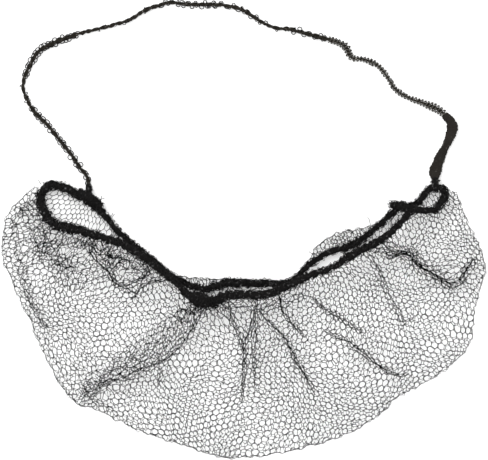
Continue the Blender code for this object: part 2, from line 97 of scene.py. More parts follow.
def evenLine(points, count, closed=False):
    # the same line with its points an equal length apart
    if closed:
        points = np.vstack([points, points[:1]])
    length = travelled(points)
    wanted = np.linspace(0.0, length[-1], count, endpoint=not closed)
    return np.column_stack([np.interp(wanted, length, points[:, axis]) for axis in range(3)])


def headings(paths, closed, axis=0):
    # direction at each point of a line, or of many lines at once
    if closed:
        return unit(np.roll(paths, -1, axis=axis) - np.roll(paths, 1, axis=axis))
    return unit(np.gradient(paths, axis=axis))


def lineFrame(path, closed=False):
    # heading, level side and the direction square to both at each point of a line
    heading = headings(path, closed)
    side = unit(np.cross(heading, [0.0, 0.0, 1.0]))
    return heading, side, np.cross(side, heading)


def turned(line, side, up, reach, turn):
    # line + reach * (cos(turn) * side + sin(turn) * up)
    return line + reach[:, None] * (np.cos(turn)[:, None] * side + np.sin(turn)[:, None] * up)


def laid(paths, least):
    # nothing lies lower than this above the surface
    paths[..., 2] = np.maximum(paths[..., 2], least)
    return paths


def waves(at, counts, seed):
    # sum of sines with seeded phases, about -1 to 1, for at from 0 to 1 round or along a line
    phases = np.random.default_rng(seed).uniform(0, 2 * math.pi, len(counts))
    total = sum(np.sin(2 * math.pi * count * at + phase) for count, phase in zip(counts, phases))
    return total / math.sqrt(len(counts))


def addMesh(name, parts, material):
    # one piece from parts of (points, faces, yarn). Faces is a list of index arrays, each of one face
    # size, and yarn holds the length along it, the turn round it and a seed for every point
    points = np.vstack([part[0] for part in parts])
    yarn = np.vstack([part[2] for part in parts])
    starts = np.cumsum([0] + [len(part[0]) for part in parts])
    groups = [group + start for part, start in zip(parts, starts) for group in part[1]]
    corners = np.concatenate([group.ravel() for group in groups])
    sizes = np.concatenate([np.full(len(group), group.shape[1]) for group in groups])
    mesh = bpy.data.meshes.new(name)
    mesh.vertices.add(len(points))
    mesh.vertices.foreach_set("co", points.astype(np.float32).ravel())
    mesh.loops.add(len(corners))
    mesh.loops.foreach_set("vertex_index", corners.astype(np.int32))
    mesh.polygons.add(len(sizes))
    mesh.polygons.foreach_set("loop_start", np.append(0, np.cumsum(sizes)[:-1]).astype(np.int32))
    mesh.update(calc_edges=True)
    layer = mesh.attributes.new("yarn", "FLOAT_VECTOR", "POINT")
    layer.data.foreach_set("vector", yarn.astype(np.float32).ravel())
    mesh.shade_smooth()
    mesh.materials.append(material)
    piece = addObject(name, mesh)
    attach(piece, "root")
    print("piece", name, len(points), "points", int(np.sum(sizes - 2)), "triangles")
    return piece


nearlyUp = np.array([0.0013, 0.0007, 1.0])  # a yarn never runs quite along it
sidesOf = {"core": 12, "cord": 10, "ply": 6, "rib": 5, "yarn": 4, "fine": 3}


def strands(paths, radii, sides, closed=False, capped=False, relief=None):
    # many round yarns at once: paths is (yarns, points, 3), and each point has a ring of sides:
    # point = path + radius * relief * (cos(turn) * side + sin(turn) * up)
    count, steps = paths.shape[:2]
    heading = headings(paths, closed, axis=1)
    side = unit(np.cross(heading, nearlyUp))
    up = np.cross(side, heading)
    turn = np.arange(sides) * 2 * math.pi / sides
    radii = np.broadcast_to(radii, (count, steps))[..., None, None]
    ring = np.cos(turn)[:, None] * side[:, :, None, :] + np.sin(turn)[:, None] * up[:, :, None, :]
    if relief is not None:
        radii = radii * relief[..., None]
    points = paths[:, :, None, :] + radii * ring
    index = np.arange(count * steps * sides).reshape(count, steps, sides)
    following = np.roll(index, -1, axis=2)
    if closed:
        low, lowNext = index, following
        high, highNext = np.roll(index, -1, axis=1), np.roll(following, -1, axis=1)
    else:
        low, lowNext = index[:, :-1], following[:, :-1]
        high, highNext = index[:, 1:], following[:, 1:]
    quads = np.stack([low, lowNext, highNext, high], axis=-1).reshape(-1, 4)
    length = np.zeros((count, steps))
    length[:, 1:] = np.cumsum(np.linalg.norm(np.diff(paths, axis=1), axis=2), axis=1)
    seed = np.random.default_rng(count * steps).uniform(0, 1, count)
    around = (np.arange(sides) / sides)[None, None, :]
    yarn = np.stack(np.broadcast_arrays(length[:, :, None], around, seed[:, None, None]), axis=-1)
    faces = [quads]
    if capped:
        faces.append(index[:, 0, ::-1])
        faces.append(index[:, -1, :])
    return points.reshape(-1, 3), faces, yarn.reshape(-1, 3)


# Pouch and the elastic round its mouth: the same sections as in the part's source. Each row gives a
# point on the far strand, the near strand and the outline, as shares of the pouch's width and depth,
# the near strand's rise, the bulge of the upper layer, the lower layer's reach past the far strand
# and the thickness of both strands.
pouch = {
    "width": 0.2517,
    "depth": 0.1446,
    "wall": 0.001,
    "edgeRoll": 0.0014,
    "mouthRise": 0.0098,
    "crown": 0.0026,
    "clearance": 0.0003,
    "rimThickness": 0.0042,
    "gatherShare": 0.07,
    # points on each strand where it is measured, and on the whole elastic
    "fineSteps": 1200,
    "rimSteps": 900,
    # how far out an end is tried, in thicknesses of the elastic, and in how many steps
    "leave": (3, 160),
    "columns": ("farAcross", "farUp", "nearAcross", "nearUp", "edgeAcross", "edgeUp",
                "rise", "crown", "lip", "farThick", "nearThick"),
    "rows": (
        (0.086, 0.961, 0.086, 0.961, 0.070, 0.976, 0.00, 0.0, 0.010, 1.02, 1.02),
        (0.095, 0.976, 0.082, 0.950, 0.056, 0.955, 0.02, 0.0, 0.010, 1.00, 1.08),
        (0.102, 0.982, 0.083, 0.938, 0.026, 0.908, 0.06, 0.1, 0.010, 0.92, 0.98),
        (0.115, 0.979, 0.081, 0.923, 0.004, 0.822, 0.12, 0.3, 0.010, 0.84, 1.00),
        (0.134, 0.970, 0.085, 0.900, 0.001, 0.741, 0.20, 0.5, 0.010, 0.88, 1.06),
        (0.157, 0.946, 0.094, 0.870, 0.021, 0.637, 0.32, 0.8, 0.010, 0.86, 1.15),
        (0.177, 0.931, 0.111, 0.840, 0.055, 0.507, 0.45, 1.0, 0.010, 0.92, 1.15),
        (0.216, 0.865, 0.161, 0.820, 0.120, 0.270, 0.72, 1.0, 0.010, 0.68, 1.12),
        (0.235, 0.824, 0.202, 0.797, 0.150, 0.204, 0.90, 1.0, 0.010, 0.62, 0.92),
        (0.261, 0.782, 0.248, 0.772, 0.204, 0.170, 1.00, 0.9, 0.010, 0.66, 0.90),
        (0.305, 0.722, 0.295, 0.719, 0.279, 0.103, 1.00, 0.8, 0.010, 0.66, 0.68),
        (0.355, 0.652, 0.354, 0.641, 0.372, 0.050, 1.00, 0.8, 0.010, 0.68, 0.70),
        (0.414, 0.609, 0.411, 0.561, 0.455, 0.005, 1.00, 0.8, 0.038, 0.74, 1.05),
        (0.467, 0.629, 0.475, 0.588, 0.535, 0.009, 1.00, 0.9, 0.014, 0.86, 1.08),
        (0.537, 0.628, 0.541, 0.590, 0.616, 0.036, 1.00, 1.0, 0.010, 0.86, 1.02),
        (0.600, 0.637, 0.598, 0.625, 0.715, 0.090, 1.00, 1.0, 0.010, 0.70, 0.70),
        (0.634, 0.694, 0.641, 0.662, 0.781, 0.160, 1.00, 1.0, 0.014, 0.62, 0.84),
        (0.675, 0.740, 0.682, 0.687, 0.820, 0.223, 1.00, 1.0, 0.046, 0.70, 0.74),
        (0.716, 0.760, 0.717, 0.727, 0.882, 0.281, 1.00, 1.0, 0.058, 0.70, 0.88),
        (0.787, 0.850, 0.796, 0.805, 0.969, 0.432, 1.00, 0.9, 0.010, 0.62, 0.86),
        (0.816, 0.895, 0.824, 0.852, 0.973, 0.511, 0.92, 0.8, 0.010, 0.66, 0.78),
        (0.844, 0.906, 0.845, 0.890, 0.988, 0.619, 0.76, 0.6, 0.010, 0.74, 0.80),
        (0.863, 0.926, 0.864, 0.892, 0.998, 0.705, 0.55, 0.4, 0.010, 0.68, 0.84),
        (0.876, 0.957, 0.884, 0.887, 0.983, 0.770, 0.35, 0.3, 0.010, 0.70, 0.78),
        (0.890, 0.973, 0.899, 0.903, 0.963, 0.835, 0.19, 0.1, 0.010, 0.80, 0.96),
        (0.903, 0.972, 0.909, 0.923, 0.950, 0.903, 0.08, 0.0, 0.010, 0.84, 1.05),
        (0.910, 0.967, 0.915, 0.942, 0.941, 0.934, 0.02, 0.0, 0.010, 0.90, 1.05),
        (0.913, 0.959, 0.913, 0.959, 0.930, 0.962, 0.00, 0.0, 0.010, 1.00, 1.00),
    ),
}
section = {name: np.array(column) for name, column in zip(pouch["columns"], zip(*pouch["rows"]))}


def planPoints(across, up):
    return np.stack([(across - 0.5) * pouch["width"], (up - 0.5) * pouch["depth"]], axis=-1)


farPoints = planPoints(section["farAcross"], section["farUp"])
nearPoints = planPoints(section["nearAcross"], section["nearUp"])
edgePoints = planPoints(section["edgeAcross"], section["edgeUp"])
knots = travelled((nearPoints + edgePoints) / 2)
pouchLength = knots[-1]
rimClearRadius = pouch["rimThickness"] / 2 * (1 + pouch["gatherShare"])
rimRest = pouch["wall"] + pouch["clearance"] + rimClearRadius * section["farThick"].max()


def farStrand(along):
    place = hermite(knots, farPoints, along)
    return np.concatenate([place, np.full((*along.shape, 1), rimRest)], axis=-1)


def nearStrand(along):
    place = hermite(knots, nearPoints, along)
    rise = np.clip(hermite(knots, section["rise"], along), 0.0, 1.0)
    return np.concatenate([place, (rimRest + rise * pouch["mouthRise"])[..., None]], axis=-1)


def farStrandAt(across):
    # place and thickness of the far strand at a share of the pouch's width
    along = np.linspace(0.0, pouchLength, pouch["fineSteps"])
    line = farStrand(along)
    nearest = np.argmin(np.abs(line[:, 0] - (across - 0.5) * pouch["width"]))
    return line[nearest], np.interp(along[nearest], knots, section["farThick"])


def rimLoop(count):
    # closed middle line of the elastic, out along the far strand and back along the near strand, and
    # its thickness
    dense = np.linspace(0.0, pouchLength, pouch["fineSteps"])
    loop = np.vstack([farStrand(dense), nearStrand(dense[::-1])[1:-1]])
    farThick = np.interp(dense, knots, section["farThick"])
    nearThick = np.interp(dense[::-1], knots, section["nearThick"])
    thick = np.concatenate([farThick, nearThick[1:-1]])
    length = travelled(np.vstack([loop, loop[:1]]))
    wanted = np.linspace(0.0, length[-1], count, endpoint=False)
    return evenLine(loop, count, True), np.interp(wanted, length, np.append(thick, thick[0]))


rimLine, rimThick = rimLoop(pouch["rimSteps"])


def leaveRim(middle, aim, halfWidth):
    # first place out from the elastic's middle where an end this wide stands clear of it
    thicknesses, steps = pouch["leave"]
    out = np.linspace(0.0, thicknesses * pouch["rimThickness"], steps)
    tries = middle + out[:, None] * np.append(aim, 0.0)
    aside = halfWidth * np.array([aim[1], -aim[0], 0.0])
    room = np.full(len(tries), np.inf)
    for shift in (-1.0, 0.0, 1.0):
        apart = np.linalg.norm((tries + shift * aside)[:, None] - rimLine[None], axis=2)
        room = np.minimum(room, (apart - rimClearRadius * rimThick).min(axis=1))
    return tries[np.nonzero(room < pouch["clearance"])[0][-1] + 1]


# Knitted band, from its foot on the ring to the head elastic: its place as shares of its reach, its
# width and thickness as shares, and the turn of its flat side in degrees.
band = {
    "footAcross": 0.894,
    "reach": 0.0345,
    "width": 0.0056,
    "thickness": 0.0018,
    "rows": (
        (0.000, 0.000, 0.62, 1.35, 0),
        (0.000, 0.060, 0.64, 1.25, 0),
        (0.000, 0.150, 1.04, 1.00, 0),
        (0.035, 0.270, 1.00, 1.00, -14),
        (0.085, 0.400, 0.90, 1.00, -24),
        (0.165, 0.560, 0.66, 1.20, -12),
        (0.235, 0.720, 0.90, 1.00, 10),
        (0.262, 0.830, 0.96, 1.00, 18),
        (0.235, 0.930, 0.84, 1.10, 10),
        (0.170, 1.000, 0.58, 1.30, 0),
    ),
    "topWidth": 0.0040,
    "knitShare": 1.10,
    "wales": 7,
    "course": 0.0009,
    "stitchHeight": 0.00016,
    # how far its foot and its top go on into the casings of the ring and the head elastic
    "sunk": (0.0022, 0.0018),
    # length over which its ends round off, and the square of the share that is left there
    "ends": (0.0010, 0.06),
    # powers of the cosine and sine that flatten its round section
    "flattened": (0.75, 0.6),
    # how far a course lags towards the sides of each wale, in courses
    "courseBend": 0.45,
    "lumps": 0.07,
    "lowest": 0.00005,
    "around": 64,
    "steps": 300,
}


def bandSections():
    # middle, width, thickness and turn of each row, the same as in the part's source
    ring, _ = farStrandAt(band["footAcross"])
    right, up, width, thick, turn = (np.array(column) for column in zip(*band["rows"]))
    foot = leaveRim(ring, np.array([0.0, 1.0]), width[0] * band["width"] / 2)
    turn = np.radians(turn)
    width = width * band["width"]
    thick = thick * band["thickness"]
    lying = (width * np.abs(np.sin(turn)) + thick * np.cos(turn)) / 2
    lift = np.maximum(0.0, 1 - up * band["reach"] / (2 * pouch["rimThickness"]))
    height = lying + (rimRest - lying) * lift**2
    place = np.column_stack([foot[0] + right * band["reach"], foot[1] + up * band["reach"], height])
    return place, width, thick, turn


# Head elastic: a thin elastic in a loose looped casing, which widens where it has slipped together
headCord = {
    "startAcross": 0.184,
    "thickness": 0.0023,
    "route": (
        (-0.0811, 0.0728), (-0.0858, 0.0796), (-0.0905, 0.0863), (-0.0962, 0.0936),
        (-0.1017, 0.1004), (-0.1082, 0.1069), (-0.1128, 0.1141), (-0.1149, 0.1206),
        (-0.1139, 0.1261), (-0.1110, 0.1326), (-0.1071, 0.1388), (-0.1004, 0.1427),
        (-0.0926, 0.1461), (-0.0844, 0.1487), (-0.0764, 0.1508), (-0.0671, 0.1531),
        (-0.0593, 0.1557), (-0.0520, 0.1602), (-0.0445, 0.1630), (-0.0374, 0.1646),
        (-0.0317, 0.1638), (-0.0244, 0.1635), (-0.0161, 0.1635), (-0.0094, 0.1628),
        (-0.0021, 0.1612), (0.0036, 0.1581), (0.0091, 0.1544), (0.0166, 0.1513),
        (0.0234, 0.1508), (0.0322, 0.1484), (0.0414, 0.1460), (0.0484, 0.1440),
        (0.0530, 0.1414), (0.0556, 0.1362), (0.0627, 0.1349), (0.0697, 0.1316),
        (0.0749, 0.1253), (0.0790, 0.1191), (0.0848, 0.1154), (0.0931, 0.1123),
    ),
    "steps": 1100,
    "core": 0.00054,
    # two thick plies that give it the lumps of a rope: ring, radius and pitch
    "plies": (0.00070, 0.00054, 0.0084),
    "casing": 0.00084,
    "yarns": 4,
    "pitch": 0.0046,
    "yarnRadius": 0.00018,
    "loopSize": 0.0017,
    "loopRadius": 0.00025,
    "loopLift": 0.0006,
    # open loops beside the casing, more of them in some stretches: middle, reach and how many
    "loops": (
        (0.05, 0.04, 12), (0.13, 0.045, 20), (0.285, 0.060, 38), (0.535, 0.05, 16), (0.62, 0.05, 10),
        (0.735, 0.03, 7),
    ),
    "strayLoops": 110,
    # slanting ribs of the casing on the right: start, pitch, radius, yarn and how many
    "ribs": (0.765, 0.0035, 0.00136, 0.00033, 2),
    "ribSteps": 460,
    # how thin the core and its yarns are inside the ribs
    "inside": 0.5,
    # share of the length, how far the wide stretch runs and how much wider it is
    "wide": (
        (0.30, 0.03, 0.20), (0.745, 0.020, 0.25), (0.797, 0.018, 0.80), (0.855, 0.02, 0.1),
        (0.974, 0.022, 0.85),
    ),
}


def headLine():
    # the part's own route, on one smooth curve from the far strand to the band
    rim, _ = farStrandAt(headCord["startAcross"])
    lying = headCord["thickness"] / 2
    route = np.array([(x, y, lying) for x, y in headCord["route"]])
    aim = unit(route[0, :2] - rim[:2])
    start = leaveRim(rim, aim, headCord["thickness"] / 2)
    place = bandSections()[0]
    ahead = unit(place[-1] - place[-2])
    end = place[-1] + ahead * pouch["clearance"]
    leave = start[:2] + aim * pouch["rimThickness"]
    before = end + ahead * headCord["thickness"]
    route = np.vstack([
        start, [*leave, (rimRest + lying) / 2], route, [before[0], before[1], lying],
        [end[0], end[1], max(end[2], lying)],
    ])
    length = travelled(route)
    points = hermite(length, route, np.linspace(0.0, length[-1], headCord["steps"]))
    return evenLine(laid(points, lying), headCord["steps"])


def headWidth(share):
    # casing's half width as a share of the cord's radius: slow waves and the wide stretches
    width = 0.90 + 0.10 * waves(share, (7, 13, 29, 41), 3)
    for middle, reach, more in headCord["wide"]:
        width = width + more * nearness(share - middle, reach)
    return width


# A wound yarn runs ahead and lags by its sway, and swells and sinks: waves of both along the line
winding = {"sway": 0.55, "swayWaves": (5, 11, 23), "reachWaves": (17, 37, 71, 113)}


def yarnRings(line, closed, radius, pitches, phases, wobble, seed):
    # yarns wound round a line: path = line + reach * (cos(turn) * side + sin(turn) * up), where turn
    # grows by a full circle each pitch
    _, side, up = lineFrame(line, closed)
    share = np.arange(len(line)) / (len(line) if closed else len(line) - 1)
    total = np.linalg.norm(np.roll(line, -1, axis=0) - line, axis=1)[:len(line) - 1].mean() * len(line)
    paths = []
    for number, (pitch, phase) in enumerate(zip(pitches, phases)):
        turns = round(total / abs(pitch)) * (1 if pitch > 0 else -1)
        sway = winding["sway"] * waves(share, winding["swayWaves"], seed + number)
        turn = 2 * math.pi * (turns * share + phase) + sway
        reach = radius * (1 + wobble * waves(share, winding["reachWaves"], seed + 50 + number))
        paths.append(turned(line, side, up, reach, turn))
    return np.array(paths)


# Shape of the small loops. Reach and width, from the least to the most, and skew are shares of their
# size. A power makes long ones rare, and they lean out of the level and rise a little on the whole
loopShape = {"reach": (0.3, 1.3), "rare": 1.3, "width": (0.5, 1.7), "skew": 0.6, "lean": 0.9,
             "rise": 0.15, "points": 7}


def smallLoops(line, closed, count, distance, size, yarnRadius, spread, seed):
    # small open loops that stand out of a casing. Each is an ellipse that starts and ends in it:
    # path = foot + (reach * sin(bend)) * out + (width * (1 - cos(bend)) / 2 + skew * sin(bend)) * ahead
    dice = np.random.default_rng(seed)
    heading, side, up = lineFrame(line, closed)
    at = dice.integers(2, len(line) - 2, count)
    turn = dice.normal(loopShape["rise"], spread, count)
    turn = turn + np.where(dice.uniform(size=count) < 0.5, 0.0, math.pi)
    out = np.cos(turn)[:, None] * side[at] + np.abs(np.sin(turn))[:, None] * up[at]
    lean = dice.uniform(-loopShape["lean"], loopShape["lean"], count)
    ahead = unit(heading[at] + lean[:, None] * up[at])
    reach = (size * dice.uniform(*loopShape["reach"], count) ** loopShape["rare"])[:, None]
    width = (size * dice.uniform(*loopShape["width"], count))[:, None]
    foot = line[at] + out * np.broadcast_to(distance, len(line))[at][:, None]
    bend = np.linspace(0.0, math.pi, loopShape["points"])
    skew = dice.uniform(-loopShape["skew"], loopShape["skew"], count)[:, None] * size
    high = (reach * np.sin(bend))[..., None]
    along = (width * (1 - np.cos(bend)) / 2 + skew * np.sin(bend))[..., None]
    path = foot[:, None] + out[:, None] * high + ahead[:, None] * along
    return strands(laid(path, yarnRadius), yarnRadius, sidesOf["fine"])


def roughness(steps, sides, depth, seed):
    # seeded lumps on a round core, spread to the neighbouring points
    rough = np.random.default_rng(seed).normal(0, 1, (steps, sides))
    lengthwise = np.roll(rough, 1, 0) + 2 * rough + np.roll(rough, -1, 0)
    return 1 + depth * ((lengthwise + np.roll(rough, 1, 1) + np.roll(rough, -1, 1)) / 4)[None]


# Materials: node groups give the grain, the ply and the stray lint with its painted highlight, and each
# material mixes them

def feed(tree, node, inputs):
    # each input is set to a value, or linked where another node's output is given
    for name, value in inputs.items():
        if isinstance(value, bpy.types.NodeSocket):
            tree.links.new(value, node.inputs[name])
        else:
            node.inputs[name].default_value = value


def addNode(tree, kind, inputs):
    node = tree.nodes.new(kind)
    feed(tree, node, inputs)
    return node.outputs


def mathNode(tree, operation, *values):
    node = tree.nodes.new("ShaderNodeMath")
    node.operation = operation
    feed(tree, node, dict(enumerate(values)))
    return node.outputs[0]


def weighted(tree, value, weight, more):
    # value * weight + more
    return mathNode(tree, "ADD", mathNode(tree, "MULTIPLY", value, weight), more)


def colourMix(tree, share, first, second):
    node = tree.nodes.new("ShaderNodeMix")
    node.data_type = "RGBA"
    feed(tree, node, {"Factor": share, "A": first, "B": second})
    return node.outputs["Result"]


def groupNode(tree, group, inputs):
    node = tree.nodes.new("ShaderNodeGroup")
    node.node_tree = group
    feed(tree, node, inputs)
    return node.outputs


def newGroup(name, inputs, outputs):
    group = bpy.data.node_groups.new(name, "ShaderNodeTree")
    for label, value in inputs.items():
        socket = group.interface.new_socket(label, in_out="INPUT", socket_type="NodeSocketFloat")
        socket.default_value = value
    for label in outputs:
        group.interface.new_socket(label, in_out="OUTPUT", socket_type="NodeSocketFloat")
    return group, group.nodes.new("NodeGroupInput").outputs, group.nodes.new("NodeGroupOutput")


def yarnGroup():
    # plies wind round the yarn: height = 0.35 * sin(2 pi (length / pitch + around)) + fine fibre. The
    # shade is fibre, slow patches and a little for each yarn's own seed
    usual = {"Pitch": 0.0012, "Fibre": 2600.0}
    group, given, result = newGroup("yarnGrain", usual, ("Height", "Shade", "Rough"))
    source = group.nodes.new("ShaderNodeAttribute")
    source.attribute_name = "yarn"
    length, around, seed = addNode(group, "ShaderNodeSeparateXYZ", {0: source.outputs["Vector"]})
    turns = mathNode(group, "ADD", mathNode(group, "DIVIDE", length, given["Pitch"]), around)
    ply = mathNode(group, "SINE", mathNode(group, "MULTIPLY", turns, 2 * math.pi))
    place = group.nodes.new("ShaderNodeTexCoord").outputs["Object"]
    fine = {"Vector": place, "Scale": given["Fibre"], "Detail": 3.0}
    fibre = addNode(group, "ShaderNodeTexNoise", fine)["Fac"]
    slow = addNode(group, "ShaderNodeTexNoise", {"Vector": place, "Scale": 130.0})["Fac"]
    shade = weighted(group, fibre, 0.55, mathNode(group, "MULTIPLY", slow, 0.45))
    feed(group, result, {
        "Height": weighted(group, ply, 0.35, fibre),
        "Shade": weighted(group, seed, 0.12, shade),
        "Rough": weighted(group, fibre, 0.35, 0.5),
    })
    return group


def lintGlintGroup():
    # pale specks of stray fibre, with painted highlights where it catches the light: mask = 9 * (noise -
    # limit), from 0 to 1
    group, given, result = newGroup("lintGlint", {"Scale": 700.0, "Limit": 0.64}, ("Mask",))
    place = group.nodes.new("ShaderNodeTexCoord").outputs["Object"]
    fine = {"Vector": place, "Scale": given["Scale"], "Detail": 2.0}
    noise = addNode(group, "ShaderNodeTexNoise", fine)["Fac"]
    mask = mathNode(group, "MULTIPLY", mathNode(group, "SUBTRACT", noise, given["Limit"]), 9.0)
    feed(group, result, {"Mask": mathNode(group, "MINIMUM", mathNode(group, "MAXIMUM", mask, 0.0), 1.0)})
    return group


grain = yarnGroup()
lintGlint = lintGlintGroup()


def yarnMaterial(name, dark, light, lintGlintColour, pitch, fibre, lintGlintLimit, bump, sheen):
    material = bpy.data.materials.new(name)
    material.use_nodes = True
    tree = material.node_tree
    yarn = groupNode(tree, grain, {"Pitch": pitch, "Fibre": fibre})
    # stray lint painted over the yarn's colour as pale highlight specks where the fibre catches the light
    lintGlintSpecks = groupNode(tree, lintGlint, {"Limit": lintGlintLimit})
    shade = colourMix(tree, yarn["Shade"], (*dark, 1.0), (*light, 1.0))
    relief = {"Strength": bump, "Distance": 0.0001, "Height": yarn["Height"]}
    feed(tree, tree.nodes["Principled BSDF"], {
        "Base Color": colourMix(tree, lintGlintSpecks["Mask"], shade, (*lintGlintColour, 1.0)),
        "Roughness": yarn["Rough"],
        "Normal": addNode(tree, "ShaderNodeBump", relief)["Normal"],
        "Specular IOR Level": 0.03,
        "Sheen Weight": sheen,
        "Sheen Roughness": 0.5,
    })
    return material


# Yarns: dark, light and lint colour (the lint painted as a pale highlight), then the pitch of the plies, the
# scale of the fibre, the limit of the lint, the strength of the relief and the sheen
netYarn = yarnMaterial("netYarn", (0.0008, 0.0008, 0.0008), (0.004, 0.004, 0.004), (0.02, 0.02, 0.02),
                       0.0009, 3200.0, 0.70, 0.5, 0.0)
rimYarn = yarnMaterial("rimYarn", (0.0006, 0.0006, 0.0006), (0.022, 0.021, 0.021), (0.12, 0.12, 0.12),
                       0.0011, 2600.0, 0.62, 0.6, 0.0)
headYarn = yarnMaterial("headYarn", (0.002, 0.002, 0.0015), (0.037, 0.033, 0.027), (0.14, 0.13, 0.12),
                        0.0010, 2600.0, 0.62, 0.6, 0.01)
ribYarn = yarnMaterial("ribYarn", (0.024, 0.022, 0.019), (0.115, 0.110, 0.097), (0.24, 0.23, 0.21),
                       0.0010, 2600.0, 0.62, 0.6, 0.01)
bandYarn = yarnMaterial("bandYarn", (0.004, 0.0035, 0.003), (0.036, 0.032, 0.028), (0.12, 0.11, 0.10),
                        0.0008, 2400.0, 0.64, 0.7, 0.01)


